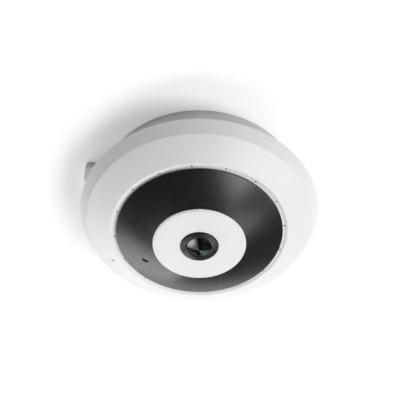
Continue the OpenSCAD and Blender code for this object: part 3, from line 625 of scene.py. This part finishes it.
@dataclass(frozen=True)
class LensWithPaintedReflections(Finish):
    """A dark front lens with two soft reflections painted into its colour, one pale and one teal.

    Attributes:
        glass: The tint of the glass, nearly black and nearly opaque: painted shade for the lens's dark
            inside.
        pale: The pale painted reflection's colour at the rim.
        olive: The same painted reflection's colour near the axis.
        teal: The colour of the painted reflection on the other side.
        deep: That painted reflection's colour at the rim.
        azimuth: The direction of the pale painted reflection in degrees from +X.
        rim: The radius at which the glass ends.
        reflection_fans: Level and soft edge of both painted reflections, in the cosine of twice
            the turn from the azimuth.
        side: Level and edge between the two painted reflections, in the cosine of the turn.
        painted_glint: Level and edge of the pale painted reflection's bright middle, in the same
            cosine.
        pale_reach: Radius and edge of the olive's turn to pale outwards, as shares of the rim.
        teal_reach: Radius and edge of the teal's rise inwards, as shares of the rim.
        roughness: The surface's roughness.
        clear: How much light the bare glass lets through.
        index: Its index of refraction.
        gloss: The strength of its gloss.
    """

    glass: Colour = (0.004, 0.005, 0.005)
    pale: Colour = (0.7, 0.74, 0.76)
    olive: Colour = (0.1, 0.1, 0.082)
    teal: Colour = (0.1, 0.14, 0.135)
    deep: Colour = (0.006, 0.01, 0.01)
    azimuth: float = -68.0
    rim: float = 6.6 * MM
    reflection_fans: Pair = (0.5, 0.38)
    side: Pair = (0.0, 0.1)
    painted_glint: Pair = (0.85, 0.12)
    pale_reach: Pair = (0.72, 0.24)
    teal_reach: Pair = (0.9, -0.75)
    roughness: float = 0.05
    clear: float = 0.01
    index: float = 1.4
    gloss: float = 0.03

    def paint(self, graph: Graph) -> None:
        """Paints the near-black glass and its two painted reflections.

        Args:
            graph: The material's nodes.
        """
        place = graph.add("SeparateXYZ", Vector=graph.place).outputs
        squares = (graph.calculate("MULTIPLY", place[axis], place[axis]) for axis in "XY")
        far = graph.calculate("POWER", graph.calculate("ADD", *squares), 0.5)
        turn = graph.calculate("ARCTAN2", place["Y"], place["X"])
        turn = graph.calculate("SUBTRACT", turn, math.radians(self.azimuth))
        ahead = graph.calculate("COSINE", turn)
        # Painted reflections: two fans round the axis get a pale painted reflection with a painted
        # glint near the rim on one side and a teal one on the other; the near-black glass between is
        # painted shade.
        reflection_fans = graph.step(graph.calculate("COSINE", graph.calculate("MULTIPLY", turn, 2.0)), *self.reflection_fans)
        outward = graph.step(far, *(share * self.rim for share in self.pale_reach))
        inward = graph.step(far, *(share * self.rim for share in self.teal_reach))
        painted_glint = graph.calculate("MULTIPLY", outward, graph.step(ahead, *self.painted_glint))
        painted_reflections = graph.mixed(graph.step(ahead, *self.side), graph.mixed(inward, self.deep, self.teal),
                             graph.mixed(painted_glint, self.olive, self.pale))
        graph.shade(
            Base_Color=graph.mixed(reflection_fans, self.glass, painted_reflections),
            Transmission_Weight=graph.calculate("MULTIPLY_ADD", reflection_fans, -self.clear, self.clear),
            Roughness=graph.spread(graph.cloud(DUST_SIZE, 4), self.roughness, 0.3),
            IOR=self.index, Specular_IOR_Level=self.gloss)


@dataclass(frozen=True)
class Board(Finish):
    """A circuit board with its traces under a solder mask.

    Attributes:
        mask: The colour of the mask over bare board.
        trace: The colour of the mask over copper.
        pitch: The distance between traces.
        patch: The size of an area whose traces run one way.
        copper: The level of the lines, from 0 to 1, above which copper lies.
        height: How far the copper stands up.
        roughness: The mask's mean roughness, and how far it varies as a share of that.
    """

    mask: Colour = (0.012, 0.075, 0.03)
    trace: Colour = (0.03, 0.14, 0.06)
    pitch: float = 1.1 * MM
    patch: float = 7 * MM
    copper: float = 0.62
    height: float = 0.02 * MM
    roughness: Pair = (0.315, 0.065 / 0.315)

    def paint(self, graph: Graph) -> None:
        """Paints the traces and the mask over them.

        Args:
            graph: The material's nodes.
        """
        fields = graph.add("TexVoronoi", Vector=graph.place, Scale=1 / self.patch, Randomness=0.8)
        pick = graph.add("SeparateColor", Color=fields.outputs["Color"])
        along = graph.lines(self.pitch, Axis.X)
        across = graph.lines(self.pitch, Axis.Y)
        mixed = graph.add("Mix", Factor=graph.step(pick.outputs["Red"], 0.5), A=along, B=across)
        copper = graph.step(mixed.outputs["Result"], self.copper)
        graph.shade(
            Base_Color=graph.mixed(copper, self.mask, self.trace),
            Roughness=graph.spread(graph.cloud(MASK_BLOT, 3), *self.roughness),
            Normal=graph.relief(copper, self.height), IOR=PLASTIC_INDEX)


@dataclass(frozen=True)
class Striped(Finish):
    """A film or winding with parallel conductors.

    Attributes:
        ground: The colour between the conductors.
        stripe: The colour of the conductors.
        pitch: The distance between them.
        axis: The direction across them.
        roughness: The surface's roughness.
        metallic: How metallic it is.
        depth: How far the conductors stand up.
    """

    ground: Colour
    stripe: Colour
    pitch: float
    axis: Axis
    roughness: float = 0.35
    metallic: float = 0.0
    depth: float = 0.02 * MM

    def paint(self, graph: Graph) -> None:
        """Paints the conductors.

        Args:
            graph: The material's nodes.
        """
        lines = graph.lines(self.pitch, self.axis)
        graph.shade(
            Base_Color=graph.mixed(lines, self.ground, self.stripe), Metallic=self.metallic,
            Roughness=graph.spread(graph.cloud(FILM_BLOT), self.roughness, 0.15),
            Normal=graph.relief(lines, self.depth))


WHITE = Moulded("white_shell", (0.866, 0.873, 0.883), roughness=0.42)
# The shell's white plastic made darker: painted shade for the mount plate and rear cover under the
# shell's overhang.
WHITE_BASE_IN_PAINTED_SHADE = Moulded("white_base_in_painted_shade", (0.76, 0.765, 0.775), roughness=0.5)
WINDOW = SmokedWindow("smoked_window")
BEZEL = Moulded("bezel_black", (0.009, 0.009, 0.01), roughness=0.3, mottle=0.1)
BLACK = Moulded("black_plastic", (0.02, 0.02, 0.021), roughness=0.5, mottle=0.1)
CHIP = Moulded("chip_resin", (0.018, 0.018, 0.02), roughness=0.55, mottle=0.15, grain=0.12 * MM)
CREAM = Moulded("cream_nylon", (0.78, 0.74, 0.62), roughness=0.5)
GREY = Moulded("button_grey", (0.21, 0.21, 0.22), roughness=0.5)
FRAME_PLASTIC = Moulded("frame_plastic", (0.035, 0.035, 0.038), roughness=0.55, mottle=0.1)
CONE = Moulded("cone_film", (0.02, 0.02, 0.023), roughness=0.4, grain=0.6 * MM, depth=0.02 * MM)
SLEEVE = Moulded("black_sleeve", (0.018, 0.018, 0.018), roughness=0.6, mottle=0.1)
STEEL = Metal("plated_steel", (0.62, 0.62, 0.63), roughness=0.28)
SCREWS = Metal("screw_steel", (0.6, 0.6, 0.61), roughness=0.32, pitch=0.25 * MM, axis=Axis.Z)
SINK = Metal("extruded_sink", (0.56, 0.57, 0.59), roughness=0.42, axis=Axis.Z)
BARREL = Metal("black_anodised", (0.03, 0.03, 0.032), roughness=0.45, pitch=0.5 * MM, axis=Axis.Z,
               depth=0.05 * MM)
BOARD = Board("solder_mask")
COPPER = Striped("wound_wire", (0.3, 0.13, 0.05), (0.8, 0.36, 0.16), 0.12 * MM, Axis.X,
                 roughness=0.3, metallic=0.9, depth=0.05 * MM)
AMBER_X = Striped("amber_film_x", (0.5, 0.26, 0.05), (0.62, 0.36, 0.1), 0.5 * MM, Axis.Y)
AMBER_Y = Striped("amber_film_y", (0.5, 0.26, 0.05), (0.62, 0.36, 0.1), 0.5 * MM, Axis.X)
GUIDE = Moulded("smoky_guide", (0.14, 0.14, 0.142), roughness=0.3, mottle=0.2, depth=0.02 * MM)
# The front glass, with painted reflections and painted shade in its colour.
LENS = LensWithPaintedReflections("front_glass")
FELT = Moulded("sound_felt", (0.012, 0.012, 0.013), roughness=0.9, mottle=0.4, grain=0.2 * MM,
               depth=0.1 * MM)
INNER_GLASS = Glass("inner_glass", (0.55, 0.7, 0.68), coat=1.0, coat_tint=(0.5, 0.9, 0.8))
FILTER_GLASS = Glass("filter_glass", (0.4, 0.75, 0.78), coat=0.5, coat_tint=(0.7, 1.0, 1.0))
SENSOR_GLASS = Glass("sensor_glass", (0.12, 0.14, 0.2), clear=0.3, coat=0.8, coat_tint=(0.6, 0.8, 1.0))
LED_RESIN = Glass("clear_resin", (0.93, 0.92, 0.8), roughness=0.06, clear=0.85)
LIGHT_PIPE = Glass("light_pipe", (0.75, 0.77, 0.8), roughness=0.3, clear=0.3)
MIC_METAL = Metal("gilt_case", (0.75, 0.62, 0.32), roughness=0.3)

NODES_OF_FINISHES = {
    WHITE_BASE_IN_PAINTED_SHADE: "mount_plate rear_cover",
    WHITE: "front_shell lens_disc",
    WINDOW: "window_ring",
    BEZEL: "lens_bezel",
    LENS: "front_lens",
    INNER_GLASS: "inner_lenses",
    BLACK: "lens_spacers lens_holder filter_housing power_jack reset_switch",
    BARREL: "lens_barrel",
    FRAME_PLASTIC: "filter_slide inner_frame",
    FILTER_GLASS: "filter_panes",
    STEEL: "filter_rotor filter_yoke network_jack card_socket speaker",
    COPPER: "filter_coil",
    SENSOR_GLASS: "image_sensor",
    BOARD: "sensor_board led_board main_board side_board",
    LED_RESIN: "infrared_leds",
    CHIP: "light_sensor processor network_transformer",
    SINK: "heat_sink",
    GREY: "reset_button",
    CONE: "speaker_cone",
    MIC_METAL: "microphone",
    LIGHT_PIPE: "status_light",
    CREAM: "board_connectors",
    AMBER_X: "sensor_ribbon",
    AMBER_Y: "led_ribbon",
    SLEEVE: "speaker_ribbon side_ribbon",
    SCREWS: "board_screws frame_screws shell_screws",
}


class Wardrobe:
    """Makes each material once and puts it on pieces."""

    def __init__(self) -> None:
        """Starts with nothing made."""
        self.made: dict[str, Material] = {}

    def dress(self, piece: Piece, finish: Finish) -> None:
        """Puts a finish on every slot of a piece, and makes its material at its first use.

        Args:
            piece: The piece to dress.
            finish: Its finish.
        """
        if finish.name not in self.made:
            self.made[finish.name] = finish.make()
        if not piece.material_slots:
            piece.data.materials.append(None)
        for slot in piece.material_slots:
            slot.material = self.made[finish.name]


WARDROBE = Wardrobe()


def hand_over(piece: Piece, slot: str, finish: Finish, *nodes: str) -> None:
    """Shades and dresses a finished piece of the camera, hangs it on the camera's body and hides the
    nodes that it replaces.

    Args:
        piece: The finished piece.
        slot: The record's material slot; not used.
        finish: Its finish.
        *nodes: The nodes that it replaces.
    """
    WARDROBE.dress(piece, finish)
    hold(piece)
    bpy.ops.object.shade_smooth_by_angle(angle=SMOOTH_ANGLE)
    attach(piece, CARRIER)
    if nodes:
        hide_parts(*nodes)
    LOG.info("%s: %d faces", piece.name, len(piece.data.polygons))


@dataclass
class FrontShell:
    """The white shell with its side band, its face, and the groove round the window.

    Attributes:
        rim: Outer corner at the rear edge.
        crease: Corner between the band and the face.
        lip: Corner between the face and the groove.
        wall: Thickness of the wall.
        groove_tilt: Slope of the groove's outer side in degrees.
        groove_rounding: Radius of the hollow at the foot of that side.
        ledge_height: Height of the ledge that carries the window.
        ledge_thickness: Thickness of that ledge.
        seat: Inner radius, outer radius and top of the low rim under the window's edge.
        seat_rounding: Radius of the hollow at the rim's foot.
        bore: Radius of the opening for the window.
        slot_count: How many sound slots stand in the groove.
        slot_size: Radial length, width and height of a slot's cutter.
        slot_rounding: Radius of that cutter's edges.
        slot_start: Where the slots start.
        microphone_radius: Distance of the microphone's slot from the axis.
        microphone_half: Half width and half length of that slot.
        light_radius: Distance of the status light from the axis.
        light_half: Half width and half length of the status light's hole.
        tube_radius: Radius of the tubes behind both holes.
        tube_length: Length of those tubes.
        felt_depth: How deep the felt behind the microphone's slot lies.
        felt_rim: How far the felt reaches past that slot.
        screw_bosses: Ring radius, radius, foot and bore radius of the bosses for the cover's screws,
            and their angles in degrees from +X.
        frame_bosses: The same for the bosses that carry the inner frame.
        bore_depth: The depth of the bosses' bores.
    """

    rim: Corner = corner(64.27, 20.8, 0.5)
    crease: Corner = corner(60.2, 28.6, 1.2)
    lip: Corner = corner(47.0, 37.15, 1.0)
    wall: float = 2.2 * MM
    groove_tilt: float = 36.0
    groove_rounding: float = 0.9 * MM
    ledge_height: float = 36.0 * MM
    ledge_thickness: float = 1.2 * MM
    seat: Sizes = (43.3 * MM, 43.7 * MM, 37.0 * MM)
    seat_rounding: float = 0.3 * MM
    bore: float = 42.4 * MM
    slot_count: int = 16
    slot_size: Sizes = (1.5 * MM, 0.9 * MM, 4.0 * MM)
    slot_rounding: float = 0.27 * MM
    slot_start: float = 44.4 * MM
    microphone_radius: float = 52.6 * MM
    microphone_half: Pair = (0.6 * MM, 1.0 * MM)
    light_radius: float = 55.2 * MM
    light_half: Pair = (0.78 * MM, 0.78 * MM)
    tube_radius: float = 1.7 * MM
    tube_length: float = 1.6 * MM
    felt_depth: float = 0.06 * MM
    felt_rim: float = 0.25 * MM
    screw_bosses: Sizes = (57.0 * MM, 2.6 * MM, 24.1 * MM, 1.45 * MM, 60, 180, 300)
    frame_bosses: Sizes = (48.1 * MM, 2.9 * MM, 31.6 * MM, 1.05 * MM, 90, 210, 330)
    bore_depth: float = 3.5 * MM

    def face_height(self, radius: float) -> float:
        """Gives the height of the face at a distance from the axis."""
        slope = (self.lip.height - self.crease.height) / (self.crease.radius - self.lip.radius)
        return self.crease.height + (self.crease.radius - radius) * slope

    def face_out(self) -> Vector:
        """Gives the face's outward direction at azimuth 0."""
        lip, crease = self.lip, self.crease
        return Vector((lip.height - crease.height, 0.0, crease.radius - lip.radius)).normalized()

    def inner_corners(self, depth: float) -> tuple[Corner, Corner, Corner]:
        """Gives three corners of a surface inside the wall.

        Args:
            depth: How deep the surface lies under the outside.

        Returns:
            Its corner at the rear edge, at the crease, and on the ledge's underside.
        """
        band = self.crease.point() - self.rim.point()
        rear = Corner(self.rim.radius - depth * band.length / band.z, self.rim.height)
        bend = inset_corner(self.rim, self.crease, self.lip, depth)
        face = self.lip.point() - self.crease.point()
        low = self.ledge_height - self.ledge_thickness
        root = Corner(bend.radius + (low - bend.height) * face.x / face.z, low)
        return rear, bend, root

    def outline(self) -> list[Corner]:
        """Gives the corners of the shell's wall.

        Returns:
            The corners, from the rear edge's inside over the outside and back.
        """
        rear, bend, root = self.inner_corners(self.wall)
        ledge = self.ledge_height
        foot = self.lip.radius - (self.lip.height - ledge) / math.tan(math.radians(self.groove_tilt))
        inner, outer, top = self.seat
        groove = placed(
            (foot, ledge, self.groove_rounding), (outer, ledge, self.seat_rounding), (outer, top),
            (inner, top), (inner, ledge), (self.bore, ledge), (self.bore, root.height))
        return [rear, self.rim, self.crease, self.lip, *groove, root, bend]

    def room(self) -> Piece:
        """Makes the space under the middle of the wall, which trims the bosses."""
        rear, bend, root = self.inner_corners(self.wall / 2)
        return spin_outline("shell_room", [
            Corner(self.bore / 2, rear.height), rear, bend, root, Corner(self.bore / 2, root.height)])

    def on_face(self, radius: float, depth: float) -> Vector:
        """Gives the point at azimuth 0 at a depth under the face, or over it if negative."""
        return Vector((radius, 0, self.face_height(radius))) - self.face_out() * depth

    def face_rod(self, name: str, place: float, half: Pair, top: float, low: float) -> Piece:
        """Makes a rod square to the face, drawn out round the axis.

        Args:
            name: Its name.
            place: Its distance from the axis.
            half: Its half width along the face and its half length round the axis.
            top: The depth of its top under the face.
            low: The depth of its foot.

        Returns:
            The rod.
        """
        piece = rod(name, half[0], self.on_face(place, low), self.on_face(place, top), FINE_SIDES)
        edit(piece)
        bpy.ops.transform.resize(value=(1, half[1] / half[0], 1))
        hold(piece)
        return piece

    def sound_slots(self) -> Piece:
        """Makes the cutters of the groove's slots.

        Returns:
            All of them as one object.
        """
        deselect_all()
        place = (self.slot_start + self.slot_size[0] / 2, 0, self.ledge_height)
        bpy.ops.mesh.primitive_cube_add(size=1, location=place, scale=self.slot_size)
        cutter = fresh("slot_cutter")
        edit(cutter)
        bpy.ops.mesh.bevel(offset=self.slot_rounding, segments=ROUND_STEPS, affect="EDGES")
        return turned_copies(cutter, (360 * step / self.slot_count for step in range(self.slot_count)))

    def add_bosses(self, shell: Piece) -> None:
        """Adds the bosses and the tubes under the face, with their bores.

        Args:
            shell: The shell's wall.
        """
        for ring, radius, foot, bore, *angles in (self.screw_bosses, self.frame_bosses):
            low, high = Vector((ring, 0, foot)), Vector((ring, 0, self.lip.height))
            bosses = turned_copies(rod("boss", radius, low, high), angles)
            meet(bosses, self.room(), Join.SHARE)
            meet(shell, bosses, Join.ADD)
            mouth = Vector((ring, 0, foot - CUT_OVERRUN))
            end = Vector((ring, 0, foot + self.bore_depth))
            meet(shell, turned_copies(rod("bore", bore, mouth, end, FINE_SIDES), angles), Join.CUT)
        for place in (self.microphone_radius, self.light_radius):
            tube = self.face_rod("tube", place, (self.tube_radius, self.tube_radius), self.wall / 2,
                                 self.wall + self.tube_length)
            meet(shell, tube, Join.ADD)

    def build(self) -> None:
        """Builds the shell."""
        shell = spin_outline("moulded_shell", self.outline())
        self.add_bosses(shell)
        meet(shell, self.sound_slots(), Join.CUT)
        through = self.wall + self.tube_length + CUT_OVERRUN
        for place, half in (
                (self.microphone_radius, self.microphone_half), (self.light_radius, self.light_half)):
            meet(shell, self.face_rod("hole_cutter", place, half, -CUT_OVERRUN, through), Join.CUT)
        size = tuple(half + self.felt_rim for half in self.microphone_half)
        felt = self.face_rod("sound_felt", self.microphone_radius, size, self.felt_depth,
                             self.wall + self.tube_length / 2)
        meet(shell, twin(felt), Join.CUT)
        hand_over(felt, "window_black", FELT)
        hand_over(shell, "shell_white", WHITE, "front_shell")


@dataclass
class WindowRing:
    """The dark ring in front of the infrared lights, with the light sensor's hole.

    Attributes:
        outer: Its outer top corner.
        inner: Its inner top corner.
        thickness: The thickness of its plate.
        foot: Height of the ledge that it stands on.
        edge_foot: Height of the underside of its thin edge.
        notch: Radius of the step under that edge.
        spigot: Outer radius and depth of the rim inside the shell's opening.
        wall: Thickness of that rim and of the inner collar.
        seat: Height of the seat under the disc's skirt.
        seat_width: Width of that seat.
        collar_gap: How far the inner collar stands outside the bore.
        collar_foot: Height of the inner collar's foot.
        hole_place: Distance of the sensor's hole from the axis.
        hole_radius: The hole's radius.
        hole_depth: How far the hole's cutter reaches in, in thicknesses of the plate.
        guide_foot: How far the light guide reaches in, in the same measure.
        guide_depth: How deep the light guide's end lies in the hole.
        guide_rim: The bevel round that end.
    """

    outer: Corner = corner(44.25, 37.55, 0.45)
    inner: Corner = corner(24.7, 46.354, 0.06)
    thickness: float = 2.4 * MM
    foot: float = 36.0 * MM
    edge_foot: float = 37.03 * MM
    notch: float = 43.25 * MM
    spigot: Pair = (42.2 * MM, 1.4 * MM)
    wall: float = 1.7 * MM
    seat: float = 43.0 * MM
    seat_width: float = 1.9 * MM
    collar_gap: float = 0.1 * MM
    collar_foot: float = 31.6 * MM
    hole_place: float = 32.4 * MM
    hole_radius: float = 1.8 * MM
    hole_depth: float = 1.5
    guide_foot: float = 1.3
    guide_depth: float = 0.8 * MM
    guide_rim: float = 0.25 * MM

    def slope(self) -> float:
        """Gives the rise of the ring's top for each metre inwards."""
        return (self.inner.height - self.outer.height) / (self.outer.radius - self.inner.radius)

    def top(self, radius: float) -> float:
        """Gives the height of the ring's top at a distance from the axis."""
        return self.outer.height + (self.outer.radius - radius) * self.slope()

    def under(self, radius: float) -> Corner:
        """Gives the corner on the plate's underside at a distance from the axis."""
        return Corner(radius, self.top(radius) - self.thickness * math.hypot(1, self.slope()))

    def outline(self) -> list[Corner]:
        """Gives the corners of the ring's wall.

        Returns:
            The corners, from the foot of the spigot over the outside and back.
        """
        bore, outside, low = self.inner.radius, self.spigot[0], self.foot - self.spigot[1]
        seat_edge, seat_foot = bore - self.seat_width, self.seat - self.wall
        collar = bore + self.collar_gap
        edge = placed((self.notch, self.foot), (self.notch, self.edge_foot),
                      (self.outer.radius, self.edge_foot))
        inside = placed(
            (bore, self.seat), (seat_edge, self.seat), (seat_edge, seat_foot), (collar, seat_foot),
            (collar, self.collar_foot), (collar + self.wall, self.collar_foot))
        under = (self.under(collar + self.wall), self.under(outside - self.wall))
        spigot = placed((outside - self.wall, low), (outside, low), (outside, self.foot))
        return [*edge, self.outer, self.inner, *inside, *under, *spigot]

    def build(self) -> None:
        """Builds the ring and the end of the light guide in its hole."""
        ring = spin_outline("smoked_window", self.outline())
        out = Vector((self.slope(), 0, 1)).normalized()
        mouth = Vector((self.hole_place, 0, self.top(self.hole_place)))
        meet(ring, rod("hole_cutter", self.hole_radius, mouth - out * self.thickness * self.hole_depth,
                       mouth + out * CUT_OVERRUN), Join.CUT)
        guide = rod("light_guide", self.hole_radius - RUNNING_GAP,
                    mouth - out * self.thickness * self.guide_foot, mouth - out * self.guide_depth,
                    rim=self.guide_rim)
        hand_over(guide, "window_black", GUIDE)
        hand_over(ring, "window_black", WINDOW, "window_ring")


@dataclass
class LensDisc:
    """The white disc round the lens, with a fine line inside its raised border.

    Attributes:
        outline: The corners of its wall.
    """

    outline: tuple[Corner, ...] = placed(
        (24.6, 43.0), (24.6, 46.4, 0.15), (24.0, 46.87, 0.15), (23.78, 46.62, 0.05),
        (23.56, 46.95, 0.08), (10.2, 48.0, 0.08), (10.2, 47.1), (8.6, 47.1), (8.6, 46.1),
        (22.6, 45.45), (22.6, 43.0), unit=MM)

    def build(self) -> None:
        """Builds the disc."""
        disc = spin_outline("centre_disc", self.outline)
        hand_over(disc, "shell_white", WHITE, "lens_disc")


@dataclass
class LensBezel:
    """The dark ring that holds the front glass, turned in fine steps.

    Attributes:
        outline: The corners of its wall.
    """

    outline: tuple[Corner, ...] = placed(
        (6.65, 47.1), (10.1, 47.1), (10.1, 48.1, 0.1), (9.72, 48.72, 0.12), (9.55, 48.62, 0.05),
        (9.38, 48.78, 0.08), (8.62, 49.02, 0.1), (8.5, 48.94, 0.04), (8.38, 49.08, 0.06),
        (7.5, 49.3, 0.2), (6.65, 48.96), unit=MM)

    def build(self) -> None:
        """Builds the bezel."""
        bezel = spin_outline("lens_surround", self.outline)
        hand_over(bezel, "bezel_black", BEZEL, "lens_bezel")


@dataclass
class FrontGlass:
    """The domed front glass over its dark hollow.

    Attributes:
        dome: Radius, rise, edge height and chords of the dome, lengths in millimetres.
        hollow: The same for the hollow under it.
    """

    dome: Sizes = (6.6, 2.25, 48.95, 20)
    hollow: Sizes = (4.1, 0.9, 47.0, 10)

    def cap(self, radius: float, rise: float, level: float, steps: int) -> list[Corner]:
        """Gives the corners of a spherical cap from its edge to the axis.

        Args:
            radius: The cap's radius in millimetres.
            rise: Its rise in millimetres.
            level: The height of its edge in millimetres.
            steps: How many chords it takes.

        Returns:
            The corners.
        """
        sphere = (radius * radius + rise * rise) / (2 * rise)
        edge = math.asin((sphere - rise) / sphere)
        turns = [edge + (math.pi / 2 - edge) * step / steps for step in range(steps)]
        centre = level + rise - sphere
        corners = [corner(sphere * math.cos(turn), centre + sphere * math.sin(turn)) for turn in turns]
        return [*corners, corner(0, level + rise)]

    def build(self) -> None:
        """Builds the glass."""
        hollow = self.cap(*self.hollow)[::-1]
        foot = corner(self.dome[0], self.hollow[2])
        glass = spin_outline("fisheye_glass", [*hollow, foot, *self.cap(*self.dome)], closed=False)
        hand_over(glass, "lens_glass", LENS, "front_lens")


@dataclass(frozen=True)
class SoftLamp:
    """A softbox that faces the part.

    Attributes:
        name: Its name.
        azimuth: Its direction from the part, in degrees from +X.
        elevation: Its height over the floor, in degrees.
        width: Its width.
        height: Its height.
        power: Its power in watts.
        distance: How far away it stands.
    """

    name: str
    azimuth: float
    elevation: float
    width: float
    height: float
    power: float
    distance: float = 1.2

    def hang(self, target: Vector) -> None:
        """Hangs the lamp so that it faces a point.

        Args:
            target: The point.
        """
        turn, tilt = math.radians(self.azimuth), math.radians(self.elevation)
        flat = math.cos(tilt)
        away = Vector((math.cos(turn) * flat, math.sin(turn) * flat, math.sin(tilt)))
        bpy.ops.object.light_add(type="AREA", location=target + away * self.distance)
        lamp = bpy.context.object
        lamp.name = self.name
        lamp.data.shape = "RECTANGLE"
        lamp.data.size, lamp.data.size_y = self.width, self.height
        lamp.data.energy = self.power
        lamp.rotation_mode = "QUATERNION"
        lamp.rotation_quaternion = away.to_track_quat("Z", "Y")


@dataclass
class Studio:
    """The floor, the lamps, the world and the camera, with a glow that makes the far floor white."""

    target: Sizes = (0, 0, 30 * MM)
    lamps: tuple[SoftLamp, ...] = (
        SoftLamp("front_low_softbox", 0, 12, 0.55, 0.55, 2.3),
        SoftLamp("left_low_softbox", 36, 14, 0.8, 0.55, 4.3),
        SoftLamp("left_high_softbox", 36, 54, 0.55, 0.55, 2.6),
        SoftLamp("far_high_softbox", 108, 54, 0.55, 0.55, 2.65),
        SoftLamp("right_low_softbox", 150, 32, 0.55, 0.55, 2.05),
        SoftLamp("right_high_softbox", 180, 54, 0.6, 0.6, 6.75),
    )
    world_level: float = 0.137
    horizon_level: float = 0.95
    horizon_height: Pair = (0.09, 0.144)
    floor_colour: Colour = (0.93, 0.93, 0.935)
    floor_roughness: float = 0.9
    floor_size: float = 8.0
    floor_glow: float = 0.248
    far_glow: float = 0.8
    glow_reach: Pair = (0.4, 1.3)
    camera_place: Sizes = (-0.2470, -0.4778, 0.6226)
    camera_right: Sizes = (-0.8886, 0.4586, 0.0)
    camera_up: Sizes = (-0.3443, -0.6672, -0.6605)
    lens: float = 135.0
    sensor: float = 36.0
    sight: Pair = (0.01, 50.0)

    def lay_floor(self) -> None:
        """Lays the pale floor, which glows a little for eyes and mirrors so that it reads as white."""
        deselect_all()
        bpy.ops.mesh.primitive_plane_add(size=self.floor_size)
        floor = bpy.context.object
        floor.name = "pale_floor"
        graph = Graph("pale_floor")
        rays = graph.add("LightPath").outputs
        mirrored = graph.calculate("MAXIMUM", rays["Is Glossy Ray"], rays["Is Transmission Ray"])
        seen = graph.calculate("MAXIMUM", rays["Is Camera Ray"], mirrored)
        away = graph.add("VectorMath", Vector=graph.place)
        away.operation = "LENGTH"
        near, far = self.glow_reach
        level = graph.add("MapRange", Value=away.outputs["Value"], From_Min=near, From_Max=far,
                          To_Max=self.far_glow - self.floor_glow)
        glow = graph.calculate("MULTIPLY_ADD", rays["Is Camera Ray"], level.outputs["Result"],
                               graph.calculate("MULTIPLY", seen, self.floor_glow))
        graph.shade(Base_Color=self.floor_colour, Roughness=self.floor_roughness,
                    Specular_IOR_Level=0.0, Emission_Color=(1, 1, 1), Emission_Strength=glow)
        floor.data.materials.append(graph.material)

    def fill_world(self) -> None:
        """Fills the room with a plain soft light."""
        world = bpy.data.worlds.new("studio")
        bpy.context.scene.world = world
        world.use_nodes = True
        nodes, link = world.node_tree.nodes, world.node_tree.links.new
        kinds = ("TexCoord", "SeparateXYZ", "MapRange", "LightPath", "Mix")
        place, split, level, rays, pick = (nodes.new("ShaderNode" + kind) for kind in kinds)
        for name, value in (("From Min", self.horizon_height[0]), ("From Max", self.horizon_height[1]),
                            ("To Min", self.horizon_level), ("To Max", self.world_level)):
            level.inputs[name].default_value = value
        pick.inputs["A"].default_value = self.world_level
        nodes["Background"].inputs["Color"].default_value = (1, 1, 1, 1)
        link(place.outputs["Generated"], split.inputs["Vector"])
        link(split.outputs["Z"], level.inputs["Value"])
        link(rays.outputs["Is Camera Ray"], pick.inputs["Factor"])
        link(level.outputs["Result"], pick.inputs["B"])
        link(pick.outputs["Result"], nodes["Background"].inputs["Strength"])

    def set_camera(self) -> None:
        """Sets the camera at the picture's place."""
        deselect_all()
        bpy.ops.object.camera_add(location=self.camera_place)
        camera = bpy.context.object
        camera.name = "camera"
        right, up = Vector(self.camera_right), Vector(self.camera_up)
        turn = Matrix((right, up, right.cross(up))).transposed()
        camera.rotation_mode = "QUATERNION"
        camera.rotation_quaternion = turn.to_quaternion()
        camera.data.lens, camera.data.sensor_width = self.lens, self.sensor
        camera.data.clip_start, camera.data.clip_end = self.sight
        bpy.context.scene.camera = camera

    def build(self) -> None:
        """Builds the whole studio."""
        self.set_camera()
        self.fill_world()
        for lamp in self.lamps:
            lamp.hang(Vector(self.target))
        self.lay_floor()
        bpy.context.scene.view_settings.view_transform = "Standard"


def dress_nodes() -> None:
    """Gives every node of the frame its finish."""
    finishes = {name: finish for finish, names in NODES_OF_FINISHES.items() for name in names.split()}
    for name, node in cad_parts.items():
        WARDROBE.dress(node, finishes[name])
        LOG.info("%s: %s", name, finishes[name].name)


def main() -> None:
    """Builds the studio and every piece in order."""
    logging.basicConfig(level=logging.INFO, format="%(message)s")
    Studio().build()
    dress_nodes()
    for assembly in (FrontShell(), WindowRing(), LensDisc(), LensBezel(), FrontGlass()):
        assembly.build()
    deselect_all()


if __name__ == "__main__":
    main()
